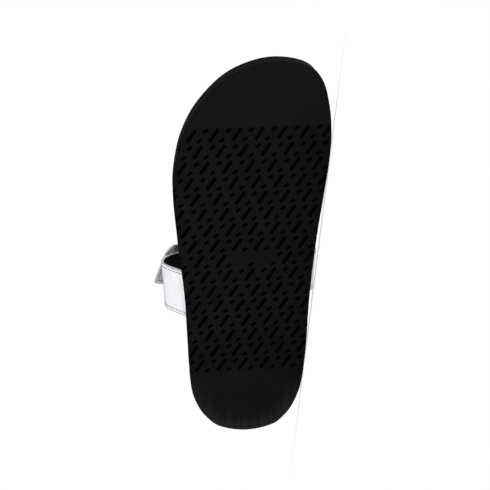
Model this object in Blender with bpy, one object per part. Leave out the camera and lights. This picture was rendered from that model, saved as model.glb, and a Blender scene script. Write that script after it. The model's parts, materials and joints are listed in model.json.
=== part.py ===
"""Leather footbed sandal for the right foot, lying on its medial side.

The sandal is modelled upright in its own axes: X from heel to toe, Y towards the big-toe (medial) side,
Z up from the tread. The parent empty then lays it down so that it rests on the edge of its sole, at ball
and heel, and on its strap. Sizes are in millimetres until the meshes are made.
"""

import functools
import math
from collections import namedtuple

import bmesh
import bpy
import numpy as np
from mathutils import Matrix, Vector
from mathutils.geometry import intersect_ray_tri

MM = 0.001
WELD_DISTANCE = 0.001 * MM
SHARP_ANGLE = math.radians(40.0)
FLAT_ANGLE = math.radians(0.1)

# Driving dimensions of the sole
SOLE_LENGTH = 260.0
HEEL_TIP_SIDE = -1.0
TOE_TIP_SIDE = 20.0
SIDE_STEPS = 42
CURVE_STEPS = 14
OUTSOLE_THICKNESS = 6.5
OUTSOLE_ROUND = 1.5
ROUND_STEPS = 2
HEEL_LIFT = 1.0
HEEL_LIFT_END = 16.0
TOE_SPRING = 7.0
TOE_SPRING_START = 196.0
FIT_GAP = 0.3

# Driving dimensions of the footbed
MIDSOLE_INSET = 0.6
RIM_ROUND = 1.0
BOWL_INSET = 4.6
BOWL_RINGS = (0.0, 0.1, 0.25, 0.5, 1.0)
BOWL_POWER = 1.8
SPINE_SHARE = 0.75
INSOLE_THICKNESS = 2.0
INSOLE_ROUND = 0.8

# Driving dimensions of the tread
SLOT_LENGTH = 10.0
SLOT_WIDTH = 2.6
SLOT_DEPTH = 2.0
SLOT_ANGLE = 55.0
SLOT_PITCH = 14.8
SLOT_ROWS = 16
SLOT_COLUMNS = 18
ROW_PITCH = 10.76
ROW_SHIFT = 4.2
ROW_TILT = 1.0
SLOT_MARGIN = 3.0
CUTTER_OVERSHOOT = 2.0
FIRST_SLOT = (214.4, -7.3)
PLAQUE_CENTRE = (131.3, -2.5)
PLAQUE_SIZE = (5.4, 25.0)

# Driving dimensions of the upper and of the closing strap
UPPER_INSET = 1.6
UPPER_WALL = 2.2
APEX_SIDE = 3.0
SHOULDER = 0.9
LOWER_SHARE = 0.15
ARCH_STEPS = 36
ARCH_NUDGE = 0.004
ROW_CLEARANCE = 0.01
STRAP_COLUMNS = 6
SPLIT_SHARE = 0.80
SPLIT_ROUND = 0.05
SPLIT_STEPS = 5
STRAP_WALL = 1.8
TAIL_SHARE = 0.185
TAIL_TAPER_SHARE = 0.30
TAIL_SKEW = 0.065
TAIL_REAR_FLARE = 5.9
FOLD_SHARE = 0.80
FOLD_RADIUS = 1.6
FOLD_STEPS = 6
UNDERLAP_SHARE = 0.70
EASE_SHARE = 0.07
LAYER_STEPS = 30
UNDERLAP_STEPS = 6

# Where the sandal balances, for finding the face that it lies on
BALANCE_POINT = (128.0, 0.0, 24.0)

OutlineRow = namedtuple("OutlineRow", "along lateral medial")
OUTLINE = (
    OutlineRow(4.0, 19.8, 17.8),
    OutlineRow(12.0, 29.0, 26.8),
    OutlineRow(21.0, 34.8, 32.4),
    OutlineRow(34.0, 38.9, 36.9),
    OutlineRow(60.0, 40.5, 40.0),
    OutlineRow(100.0, 42.4, 42.2),
    OutlineRow(140.0, 46.5, 46.2),
    OutlineRow(176.0, 49.2, 51.3),
    OutlineRow(195.0, 47.4, 53.8),
    OutlineRow(213.0, 42.7, 54.9),
    OutlineRow(231.0, 32.8, 53.6),
    OutlineRow(248.0, 15.9, 49.0),
    OutlineRow(256.5, -1.0, 40.0),
)

FootbedRow = namedtuple("FootbedRow", "along lateral_rim medial_rim bed")
FOOTBED = (
    FootbedRow(0.0, 29.0, 29.0, 24.0),
    FootbedRow(35.0, 28.0, 29.0, 20.0),
    FootbedRow(75.0, 26.0, 31.0, 20.5),
    FootbedRow(110.0, 24.5, 30.0, 21.0),
    FootbedRow(150.0, 23.0, 25.5, 18.5),
    FootbedRow(190.0, 22.0, 22.0, 16.5),
    FootbedRow(225.0, 21.0, 21.0, 16.5),
    FootbedRow(260.0, 20.5, 20.5, 17.0),
)

SectionRow = namedtuple("SectionRow", "along lateral_bulge medial_bulge widest apex")
SECTIONS = (
    SectionRow(70.0, 14.5, 9.0, 50.0, 80.0),
    SectionRow(95.0, 14.8, 9.0, 49.0, 76.0),
    SectionRow(118.0, 14.5, 8.5, 47.0, 70.5),
    SectionRow(125.0, 1.5, 7.5, 43.0, 66.5),
    SectionRow(145.0, 0.8, 5.0, 36.0, 58.0),
    SectionRow(170.0, 0.5, 2.0, 31.0, 48.0),
)

StrapRow = namedtuple("StrapRow", "share rear_start rear_end front_start front_end")
STRAPS = (
    StrapRow(0.00, 75.0, 109.0, 125.0, 158.0),
    StrapRow(0.50, 80.0, 113.0, 129.0, 166.0),
    StrapRow(0.80, 81.0, 115.0, 127.0, 168.0),
    StrapRow(1.00, 80.0, 117.0, 125.0, 166.0),
)

ClosingRow = namedtuple("ClosingRow", "share start end")
CLOSING = (
    ClosingRow(0.185, 91.0, 112.5),
    ClosingRow(0.30, 84.0, 117.0),
    ClosingRow(0.50, 84.0, 117.0),
    ClosingRow(0.80, 82.0, 114.0),
)

Finish = namedtuple("Finish", "colour roughness metallic")
FINISHES = {
    "outsole": Finish((0.012, 0.012, 0.013), 0.6, 0.0),
    "midsole": Finish((0.010, 0.010, 0.010), 0.7, 0.0),
    "insole": Finish((0.014, 0.013, 0.013), 0.75, 0.0),
    "upper": Finish((0.78, 0.77, 0.80), 0.32, 0.9),
    "closing_strap": Finish((0.74, 0.73, 0.77), 0.34, 0.9),
}


def smooth_column(rows, column, at):
    """Value of a table's column at a place, on a curve that never overshoots the rows."""
    key = rows[0]._fields[0]
    xs = np.array([getattr(row, key) for row in rows])
    ys = np.array([getattr(row, column) for row in rows])
    steps = np.diff(xs)
    slopes = np.diff(ys) / steps
    tangents = np.zeros(len(xs))
    tangents[0], tangents[-1] = slopes[0], slopes[-1]
    for i in range(1, len(xs) - 1):
        if slopes[i - 1] * slopes[i] > 0:
            near, far = 2 * steps[i] + steps[i - 1], steps[i] + 2 * steps[i - 1]
            tangents[i] = (near + far) / (near / slopes[i - 1] + far / slopes[i])
    at = min(max(at, xs[0]), xs[-1])
    i = min(int(np.searchsorted(xs, at, side="right")) - 1, len(steps) - 1)
    t = (at - xs[i]) / steps[i]
    rise = ys[i] * (1 + 2 * t) * (1 - t) ** 2 + ys[i + 1] * t * t * (3 - 2 * t)
    lean = tangents[i] * t * (1 - t) ** 2 - tangents[i + 1] * t * t * (1 - t)
    return float(rise + steps[i] * lean)


def ease(t):
    """Smooth step from 0 to 1."""
    t = min(max(t, 0.0), 1.0)
    return t * t * (3 - 2 * t)


def resampled(line, steps):
    """Points at equal steps along a polyline."""
    lengths = np.concatenate([[0.0], np.cumsum(np.linalg.norm(np.diff(line, axis=0), axis=1))])
    places = np.linspace(0.0, lengths[-1], steps + 1)
    return np.stack([np.interp(places, lengths, line[:, axis]) for axis in range(2)], axis=1)


@functools.lru_cache(maxsize=None)
def sole_outline():
    """Ring of the sole's outline: up the lateral side from the heel tip, back down the medial side."""
    lateral = [(row.along, -row.lateral) for row in OUTLINE]
    medial = [(row.along, row.medial) for row in OUTLINE]
    knots = np.array([(0.0, HEEL_TIP_SIDE), *lateral, (SOLE_LENGTH, TOE_TIP_SIDE), *reversed(medial)])
    count = len(knots)
    curve = []
    for i in range(count):
        before, start, end, after = (knots[(i + k) % count] for k in (-1, 0, 1, 2))
        span = np.linalg.norm(end - start)
        lead = (end - before) * span / (span + np.linalg.norm(start - before))
        tail = (after - start) * span / (span + np.linalg.norm(after - end))
        for t in np.linspace(0.0, 1.0, CURVE_STEPS, endpoint=False):
            blend = start * (1 + 2 * t) * (1 - t) ** 2 + end * t * t * (3 - 2 * t)
            curve.append(blend + lead * t * (1 - t) ** 2 - tail * t * t * (1 - t))
    curve = np.array(curve + curve[:1])
    toe = (len(OUTLINE) + 1) * CURVE_STEPS
    lateral_side = resampled(curve[: toe + 1], SIDE_STEPS)
    medial_side = resampled(curve[toe:], SIDE_STEPS)
    return np.concatenate([lateral_side[:-1], medial_side[:-1]])


@functools.lru_cache(maxsize=None)
def inset_ring(inset):
    """The sole's outline moved inwards by a distance."""
    ring = sole_outline()
    along = np.roll(ring, -1, axis=0) - np.roll(ring, 1, axis=0)
    along /= np.linalg.norm(along, axis=1)[:, None]
    return ring + inset * np.stack([-along[:, 1], along[:, 0]], axis=1)


def edge_side(along, side):
    """Sideways place of the sole's edge at a station: side -1 is lateral, +1 is medial."""
    ring = sole_outline()
    half = ring[: SIDE_STEPS + 1] if side < 0 else np.concatenate([ring[:1], ring[: SIDE_STEPS - 1 : -1]])
    return float(np.interp(along, half[:, 0], half[:, 1]))


def spring(along):
    """Height of the tread over the floor plane: flat, with a lifted heel edge and a toe spring."""
    heel = max(0.0, 1 - along / HEEL_LIFT_END)
    toe = max(0.0, (along - TOE_SPRING_START) / (SOLE_LENGTH - TOE_SPRING_START))
    return HEEL_LIFT * heel**2 + TOE_SPRING * toe**2


def rim_height(along, side):
    """Height of the footbed's rim at a station on one side."""
    column = "lateral_rim" if side < 0 else "medial_rim"
    return smooth_column(FOOTBED, column, along) + spring(along)


def ring_points(inset, height):
    """A ring of 3-D points at an inset, with its height worked out from station and side."""
    ring = inset_ring(inset)
    sides = [-1] * (SIDE_STEPS + 1) + [1] * (SIDE_STEPS - 1)
    return [(x, y, height(x, side)) for (x, y), side in zip(ring, sides)]


def bowl_rings(lift, edge_inset):
    """Rings of the footbed's bowl, from its edge to the line down its middle."""
    edge = np.array(ring_points(edge_inset, rim_height))
    opposite = np.roll(edge[::-1], 1, axis=0)
    middle = SOLE_LENGTH / 2
    rings = []
    for share in BOWL_RINGS:
        ring = []
        for point, partner in zip(edge, opposite):
            spine_x = middle + ((point[0] + partner[0]) / 2 - middle) * SPINE_SHARE
            spine_y = (point[1] + partner[1]) / 2
            x = point[0] + (spine_x - point[0]) * share
            y = point[1] + (spine_y - point[1]) * share
            bed = smooth_column(FOOTBED, "bed", x) + spring(x)
            ring.append((x, y, bed + (point[2] - bed) * (1 - share) ** BOWL_POWER + lift))
        rings.append(ring)
    return rings


def strip_faces(count):
    """Faces that close a ring by joining each point to its partner across the sole."""
    half = count // 2
    faces = []
    for i in range(half):
        face = (i, i + 1, (count - i - 1) % count, (count - i) % count)
        faces.append(tuple(dict.fromkeys(face)))
    return faces


def mesh_object(name, bm, parent):
    """Makes a named object of a finished bmesh, with its own finish."""
    bmesh.ops.recalc_face_normals(bm, faces=bm.faces)
    mesh = bpy.data.meshes.new(name)
    bm.to_mesh(mesh)
    bm.free()
    mesh.shade_smooth()
    mesh.set_sharp_from_angle(angle=SHARP_ANGLE)
    obj = bpy.data.objects.new(name, mesh)
    bpy.context.collection.objects.link(obj)
    obj.parent = parent
    finish = FINISHES.get(name)
    if finish:
        mesh.materials.append(principled(name, finish))
    return obj


def principled(name, finish):
    """A plain Principled material."""
    material = bpy.data.materials.new(name)
    material.use_nodes = True
    shader = material.node_tree.nodes["Principled BSDF"]
    shader.inputs["Base Color"].default_value = (*finish.colour, 1.0)
    shader.inputs["Roughness"].default_value = finish.roughness
    shader.inputs["Metallic"].default_value = finish.metallic
    return material


def stacked_rings(rings, close_bottom, close_top):
    """A bmesh of rings bridged one to the next, closed across the first or last ring where asked."""
    bm = bmesh.new()
    levels = [[bm.verts.new(Vector(point) * MM) for point in ring] for ring in rings]
    count = len(levels[0])
    for lower, upper in zip(levels, levels[1:]):
        for i in range(count):
            j = (i + 1) % count
            bm.faces.new((lower[i], lower[j], upper[j], upper[i]))
    for wanted, level in ((close_bottom, levels[0]), (close_top, levels[-1])):
        if wanted:
            for face in strip_faces(count):
                bm.faces.new([level[i] for i in face])
    bmesh.ops.remove_doubles(bm, verts=bm.verts, dist=WELD_DISTANCE)
    return bm


def slot_fits(along, across):
    """Whether a slot stays inside the sole's edge and off the bare plaque."""
    half_along = SLOT_LENGTH / 2 * math.sin(math.radians(SLOT_ANGLE))
    half_across = SLOT_LENGTH / 2 * math.cos(math.radians(SLOT_ANGLE))
    for end in (-1, 1):
        lateral = edge_side(along + end * half_along, -1) + SLOT_MARGIN
        medial = edge_side(along + end * half_along, 1) - SLOT_MARGIN
        if not lateral < across + end * half_across < medial:
            return False
    near_along = abs(along - PLAQUE_CENTRE[0]) < PLAQUE_SIZE[0] / 2 + half_along
    near_across = abs(across - PLAQUE_CENTRE[1]) < PLAQUE_SIZE[1] / 2 + half_across
    return not (near_along and near_across)


def slot_places():
    """Centres of the tread's long slots: slightly tilted rows, each shifted against the last."""
    tilt = math.radians(ROW_TILT)
    for row in range(SLOT_ROWS):
        for column in range(-SLOT_COLUMNS // 2, SLOT_COLUMNS // 2):
            along = FIRST_SLOT[0] - row * ROW_PITCH + column * SLOT_PITCH * math.sin(tilt)
            across = FIRST_SLOT[1] + row * ROW_SHIFT + column * SLOT_PITCH * math.cos(tilt)
            if slot_fits(along, across):
                yield along, across


def slot_cutter(parent):
    """Hidden blocks that cut the tread's long slots."""
    bm = bmesh.new()
    height = SLOT_DEPTH + CUTTER_OVERSHOOT
    block = Matrix.Diagonal((SLOT_LENGTH * MM, SLOT_WIDTH * MM, height * MM, 1.0))
    turn = Matrix.Rotation(math.radians(90 - SLOT_ANGLE), 4, "Z")
    for along, across in slot_places():
        place = Vector((along, across, SLOT_DEPTH - height / 2)) * MM
        bmesh.ops.create_cube(bm, size=1.0, matrix=Matrix.Translation(place) @ turn @ block)
    cutter = mesh_object("tread_cutter", bm, parent)
    cutter.hide_render = True
    cutter.display_type = "WIRE"
    return cutter


def outsole(parent):
    """Rubber sole: flat tread with rounded lower edge, lifted heel edge and toe spring."""
    rings = []
    for step in range(ROUND_STEPS + 1):
        angle = math.pi / 2 * step / ROUND_STEPS
        inset = OUTSOLE_ROUND * (1 - math.sin(angle))
        height = OUTSOLE_ROUND * (1 - math.cos(angle))
        rings.append(ring_points(inset, lambda x, side, height=height: spring(x) + height))
    rings.append(ring_points(0.0, lambda x, side: spring(x) + OUTSOLE_THICKNESS))
    bm = stacked_rings(rings, close_bottom=True, close_top=True)
    bmesh.ops.dissolve_limit(bm, angle_limit=FLAT_ANGLE, verts=bm.verts, edges=bm.edges)
    sole = mesh_object("outsole", bm, parent)
    tread = sole.modifiers.new("tread", "BOOLEAN")
    tread.operation = "DIFFERENCE"
    tread.object = slot_cutter(parent)
    return sole


def midsole(parent):
    """Footbed body: side wall, rim and bowl."""
    floor = OUTSOLE_THICKNESS + FIT_GAP
    rings = [
        ring_points(MIDSOLE_INSET, lambda x, side: spring(x) + floor),
        ring_points(MIDSOLE_INSET, lambda x, side: rim_height(x, side) - RIM_ROUND),
        ring_points(MIDSOLE_INSET + RIM_ROUND, rim_height),
    ]
    rings += bowl_rings(0.0, BOWL_INSET)
    bm = stacked_rings(rings, close_bottom=True, close_top=False)
    return mesh_object("midsole", bm, parent)


def insole(parent):
    """Thin cover that lies in the footbed's bowl."""
    lower = bowl_rings(FIT_GAP, BOWL_INSET)
    upper = bowl_rings(FIT_GAP + INSOLE_THICKNESS, BOWL_INSET)
    side = [(x, y, z - INSOLE_ROUND) for x, y, z in upper[0]]
    upper[0] = bowl_rings(FIT_GAP + INSOLE_THICKNESS, BOWL_INSET + INSOLE_ROUND)[0]
    bm = stacked_rings(lower[::-1] + [side] + upper, close_bottom=False, close_top=False)
    return mesh_object("insole", bm, parent)


def arch_point(along, share):
    """Point on the upper's outer face: share 0 is the lateral base, 0.5 the apex, 1 the medial base."""
    side = -1 if share < 0.5 else 1
    rise = share if share < 0.5 else 1 - share
    bulge = smooth_column(SECTIONS, "lateral_bulge" if side < 0 else "medial_bulge", along)
    widest_y = edge_side(along, side) + side * (bulge - UPPER_INSET)
    widest_z = smooth_column(SECTIONS, "widest", along)
    if rise < LOWER_SHARE:
        drop = 1 - rise / LOWER_SHARE
        base_z = rim_height(along, side) + FIT_GAP
        y = widest_y - side * bulge * (1 - math.cos(math.pi * drop)) / 2
        return Vector((along, y, widest_z - (widest_z - base_z) * drop))
    angle = math.pi / 2 * min((rise - LOWER_SHARE) / (0.5 - LOWER_SHARE), 1.0)
    apex_z = smooth_column(SECTIONS, "apex", along)
    y = APEX_SIDE + (widest_y - APEX_SIDE) * max(math.cos(angle), 0.0) ** SHOULDER
    return Vector((along, y, widest_z + (apex_z - widest_z) * math.sin(angle) ** SHOULDER))


def arch_frame(along, share):
    """Point, outward normal and direction towards the medial side, in the section's plane."""
    before = arch_point(along, max(share - ARCH_NUDGE, 0.0))
    after = arch_point(along, min(share + ARCH_NUDGE, 1.0))
    forward = (after - before).normalized()
    return arch_point(along, share), Vector((0.0, -forward.z, forward.y)), forward


def split_gap(share):
    """Half of the gap left open between the straps, as a share of its full width: 0 once they join."""
    t = (share - (SPLIT_SHARE - SPLIT_ROUND)) / SPLIT_ROUND
    return math.sqrt(max(0.0, 1 - max(0.0, t) ** 2))


def strap_edges(share):
    """Stations of the four strap edges, with the cut-out between them closed by a round end."""
    values = [smooth_column(STRAPS, column, share) for column in StrapRow._fields[1:]]
    rear_start, rear_end, front_start, front_end = values
    middle = (rear_end + front_start) / 2
    half = (front_start - rear_end) / 2 * split_gap(share)
    return rear_start, middle - half, middle + half, front_end


def solidified(obj, thickness, offset):
    """Gives a sheet its wall."""
    wall = obj.modifiers.new("wall", "SOLIDIFY")
    wall.thickness = thickness * MM
    wall.offset = offset
    wall.use_even_offset = True
    return obj


def sheet_faces(bm, grid):
    """Faces between the rows of a grid of points."""
    verts = [[bm.verts.new(point * MM) for point in row] for row in grid]
    for row, following in zip(verts, verts[1:]):
        for j in range(len(row) - 1):
            bm.faces.new((row[j], row[j + 1], following[j + 1], following[j]))


def upper(parent):
    """Medial panel that splits into a front strap and a rear strap, in one wall."""
    even = np.linspace(0.0, 1.0, ARCH_STEPS + 1)
    turns = np.linspace(0.0, math.pi / 2, SPLIT_STEPS + 1)
    rounded = SPLIT_SHARE - SPLIT_ROUND * (1 - np.sin(turns))
    low, high = rounded[0] - ROW_CLEARANCE, rounded[-1] + ROW_CLEARANCE
    clear = [share for share in even if not low < share < high]
    shares = [float(share) for share in sorted([*clear, *rounded])]
    bm = bmesh.new()
    for strap in (0, 2):
        grid = []
        for share in shares:
            edges = strap_edges(share)
            stations = np.linspace(edges[strap], edges[strap + 1], STRAP_COLUMNS + 1)
            grid.append([arch_point(float(x), share) for x in stations])
        sheet_faces(bm, grid)
    bmesh.ops.remove_doubles(bm, verts=bm.verts, dist=WELD_DISTANCE)
    return solidified(mesh_object("upper", bm, parent), UPPER_WALL, -1.0)


def closing_path():
    """Shares and offsets of the closing strap's middle layer line: tail, top, fold and underlap."""
    under = FIT_GAP + STRAP_WALL / 2
    over = under + STRAP_WALL + FIT_GAP
    fold = under + 2 * FOLD_RADIUS
    path = []
    for share in np.linspace(TAIL_SHARE, FOLD_SHARE, LAYER_STEPS + 1):
        climb = ease((share - (UNDERLAP_SHARE - EASE_SHARE)) / EASE_SHARE)
        reach = ease((share - UNDERLAP_SHARE) / (FOLD_SHARE - UNDERLAP_SHARE))
        path.append((float(share), under + (over - under) * climb + (fold - over) * reach, 0.0))
    for turn in np.linspace(0.0, math.pi, FOLD_STEPS + 1)[1:-1]:
        offset = under + FOLD_RADIUS * (1 + math.cos(turn))
        path.append((FOLD_SHARE, offset, FOLD_RADIUS * math.sin(turn)))
    for share in np.linspace(FOLD_SHARE, UNDERLAP_SHARE, UNDERLAP_STEPS + 1):
        path.append((float(share), under, 0.0))
    return path


def tail_looseness(share):
    """How free the strap lies: 0 over the top, 1 at the end of its tail."""
    return max(0.0, (TAIL_TAPER_SHARE - share) / (TAIL_TAPER_SHARE - TAIL_SHARE))


def closing_strap(parent):
    """Strap over the rear strap: slanted free tail on the lateral side, folded under on the medial side."""
    grid = []
    for share, offset, reach in closing_path():
        start = smooth_column(CLOSING, "start", share)
        end = smooth_column(CLOSING, "end", share)
        loose = tail_looseness(share)
        row = []
        for across in np.linspace(0.0, 1.0, STRAP_COLUMNS + 1).tolist():
            along = start + (end - start) * across
            point, normal, forward = arch_frame(along, share + TAIL_SKEW * loose * across)
            lift = offset + TAIL_REAR_FLARE * loose**2 * (1 - across)
            row.append(point + normal * lift + forward * reach)
        grid.append(row)
    bm = bmesh.new()
    sheet_faces(bm, grid)
    return solidified(mesh_object("closing_strap", bm, parent), STRAP_WALL, 0.0)


def evaluated_points(objects):
    """Every vertex of the finished objects, in the sandal's own axes and in metres."""
    depsgraph = bpy.context.evaluated_depsgraph_get()
    points = []
    for obj in objects:
        finished = obj.evaluated_get(depsgraph)
        points += [vert.co.copy() for vert in finished.to_mesh().vertices]
        finished.to_mesh_clear()
    return points


def lie_down(root, objects):
    """Lays the sandal on its medial side, on the hull face under its balance point."""
    points = evaluated_points(objects)
    bm = bmesh.new()
    for point in points:
        bm.verts.new(point)
    bmesh.ops.convex_hull(bm, input=bm.verts)
    bmesh.ops.triangulate(bm, faces=bm.faces)
    balance = Vector(BALANCE_POINT) * MM
    down = Vector((0.0, 1.0, 0.0))
    for face in bm.faces:
        corners = [vert.co for vert in face.verts]
        if face.normal.y > 0 and intersect_ray_tri(*corners, down, balance):
            down = face.normal.copy()
            break
    bm.free()
    toe = Vector((1.0, 0.0, 0.0))
    x_axis = (toe - down * toe.dot(down)).normalized()
    turn = Matrix((x_axis, (-down).cross(x_axis), -down))
    placed = np.array([turn @ point for point in points])
    low, high = placed.min(axis=0), placed.max(axis=0)
    root.location = (-(low[0] + high[0]) / 2, -(low[1] + high[1]) / 2, -low[2])
    root.rotation_euler = turn.to_euler()


def main():
    for obj in list(bpy.data.objects):
        bpy.data.objects.remove(obj, do_unlink=True)
    root = bpy.data.objects.new("sandal", None)
    bpy.context.collection.objects.link(root)
    pieces = [make(root) for make in (outsole, midsole, insole, upper, closing_strap)]
    lie_down(root, pieces)


main()
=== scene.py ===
"""Silver leather footbed sandal for the right foot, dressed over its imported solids.

Everything is built in the shoe's own axes, in millimetres: X from heel to toe, Y towards the medial side,
Z up from the tread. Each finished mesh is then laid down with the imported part, in metres. Materials measure
the shoe's own axes in metres.
"""

import json
import logging
import math
from bisect import bisect_right
from collections.abc import Callable, Iterable, Sequence
from dataclasses import dataclass, fields, replace
from enum import Enum
from functools import cached_property, partial
from itertools import groupby
from typing import ClassVar, TypeVar

import bmesh
import bpy
from mathutils import Matrix, Vector


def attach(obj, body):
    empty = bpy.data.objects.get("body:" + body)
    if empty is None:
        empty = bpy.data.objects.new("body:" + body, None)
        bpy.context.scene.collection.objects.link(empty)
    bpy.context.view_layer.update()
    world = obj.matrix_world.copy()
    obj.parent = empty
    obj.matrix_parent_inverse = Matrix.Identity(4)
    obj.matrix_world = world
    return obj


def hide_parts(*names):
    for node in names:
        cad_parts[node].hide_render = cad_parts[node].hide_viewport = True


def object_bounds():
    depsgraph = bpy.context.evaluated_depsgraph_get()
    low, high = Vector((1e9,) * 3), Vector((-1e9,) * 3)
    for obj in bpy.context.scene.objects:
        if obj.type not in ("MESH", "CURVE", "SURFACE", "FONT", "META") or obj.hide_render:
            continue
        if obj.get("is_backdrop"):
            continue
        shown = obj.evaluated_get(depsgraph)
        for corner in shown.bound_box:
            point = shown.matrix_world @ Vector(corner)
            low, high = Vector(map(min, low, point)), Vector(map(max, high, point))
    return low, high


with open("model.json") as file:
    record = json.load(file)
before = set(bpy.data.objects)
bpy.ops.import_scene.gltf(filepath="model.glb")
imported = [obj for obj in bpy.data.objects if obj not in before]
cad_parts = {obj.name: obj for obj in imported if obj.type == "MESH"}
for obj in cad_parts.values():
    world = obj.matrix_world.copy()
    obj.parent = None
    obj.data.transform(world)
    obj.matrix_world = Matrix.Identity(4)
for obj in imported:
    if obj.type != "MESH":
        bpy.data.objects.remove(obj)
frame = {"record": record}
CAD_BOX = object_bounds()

LOG = logging.getLogger("sandal")
MM = 0.001
WELD_MM = 0.001
SHARP_ANGLE = math.radians(38.0)
INNER_FACE = "inner_face"
THROUGH = "through"
LEATHER_LAYERS = ("edge_mm", "base_mm", "sink_mm")
EDGE_MM, BASE_MM, SINK_MM = LEATHER_LAYERS

Colour = tuple[float, float, float]
Triple = tuple[float, float, float]
Place = tuple[float, float]
Band = tuple[float, float]
Row = tuple[float, ...]
Mesh = bmesh.types.BMesh
Blend = TypeVar("Blend", float, Vector)


class Side(Enum):
    """Side of the shoe, by the sign of its Y."""

    LATERAL = -1
    MEDIAL = 1


class Strap(Enum):
    """The upper's two straps, by their first column in a row of strap edges."""

    REAR = 0
    FRONT = 2


class SoleFace(Enum):
    """Faces of the outsole, by material number."""

    TREAD = 0
    SLOT = 1
    WALL = 2


# Shapes


def ease(t: float) -> float:
    """Smooth step from 0 to 1."""
    t = min(max(t, 0.0), 1.0)
    return t * t * (3 - 2 * t)


def hermite(t: float, start: Blend, end: Blend, lead: Blend, tail: Blend) -> Blend:
    """Smooth run between two values that leaves the first and meets the second at given slopes.

    Args:
        t: How far along the run, 0 to 1.
        start: Value at 0.
        end: Value at 1.
        lead: Slope at 0.
        tail: Slope at 1.

    Returns:
        The value there.
    """
    rise = start * (1 + 2 * t) * (1 - t) ** 2 + end * t * t * (3 - 2 * t)
    return rise + lead * t * (1 - t) ** 2 - tail * t * t * (1 - t)


def evenly(start: float, end: float, steps: int) -> list[float]:
    """Equally spaced numbers from start to end, both included."""
    return [start + (end - start) * i / steps for i in range(steps + 1)]


def evenly_along(line: Sequence[Vector], steps: int) -> list[Vector]:
    """Points at equal distances along a polyline.

    Args:
        line: Corners of the polyline.
        steps: How many equal pieces it is cut into.

    Returns:
        The steps + 1 points, first and last corner included.
    """
    reach = [0.0]
    for a, b in zip(line, line[1:]):
        reach.append(reach[-1] + (b - a).length)
    points = []
    for place in evenly(0.0, reach[-1], steps):
        i = min(bisect_right(reach, place) - 1, len(line) - 2)
        points.append(line[i].lerp(line[i + 1], (place - reach[i]) / (reach[i + 1] - reach[i])))
    return points


@dataclass(frozen=True)
class Profile:
    """A smooth curve through given values that never overshoots them."""

    places: Row
    values: Row

    @cached_property
    def tangents(self) -> list[float]:
        """Slopes at the places, flat where the values turn."""
        steps = [b - a for a, b in zip(self.places, self.places[1:])]
        slopes = [(b - a) / step for a, b, step in zip(self.values, self.values[1:], steps)]
        inner = []
        for i in range(1, len(steps)):
            before, after = slopes[i - 1], slopes[i]
            near, far = 2 * steps[i] + steps[i - 1], steps[i] + 2 * steps[i - 1]
            inner.append((near + far) / (near / before + far / after) if before * after > 0 else 0.0)
        return [slopes[0], *inner, slopes[-1]]

    def __call__(self, at: float) -> float:
        """Value of the curve at a place.

        Args:
            at: Place on the curve; outside its ends the end value holds.

        Returns:
            The value there.
        """
        at = min(max(at, self.places[0]), self.places[-1])
        i = min(bisect_right(self.places, at) - 1, len(self.places) - 2)
        step = self.places[i + 1] - self.places[i]
        lead, tail = (slope * step for slope in self.tangents[i: i + 2])
        return hermite((at - self.places[i]) / step, *self.values[i: i + 2], lead, tail)


def both_sides(places: Row, lateral: Row, medial: Row) -> dict[Side, Profile]:
    """A curve for each side of the shoe."""
    return {Side.LATERAL: Profile(places, lateral), Side.MEDIAL: Profile(places, medial)}


@dataclass(frozen=True)
class Pose:
    """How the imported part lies: the matrix from the shoe's axes, in metres, to the row's frame."""

    matrix: Matrix

    @classmethod
    def from_record(cls, record: dict, plaque: Place) -> "Pose":
        """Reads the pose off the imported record's tread face.

        Args:
            record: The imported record.
            plaque: Station and sideways place, in mm, of the tread point that the record's mount names.

        Returns:
            The pose.
        """
        mount = next(item for item in record["mounts"] if item["name"] == "tread_face")
        up = -Vector(mount["axis"]).normalized()
        toe = Vector((up.z, 0.0, -up.x)).normalized()
        turn = Matrix((toe, up.cross(toe), up)).transposed()
        origin = Vector(mount["pos_m"]) - turn @ Vector((*plaque, 0.0)) * MM
        return cls(Matrix.Translation(origin) @ turn.to_4x4())

    @property
    def turn(self) -> Matrix:
        """The turn alone."""
        return self.matrix.to_3x3()


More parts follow.
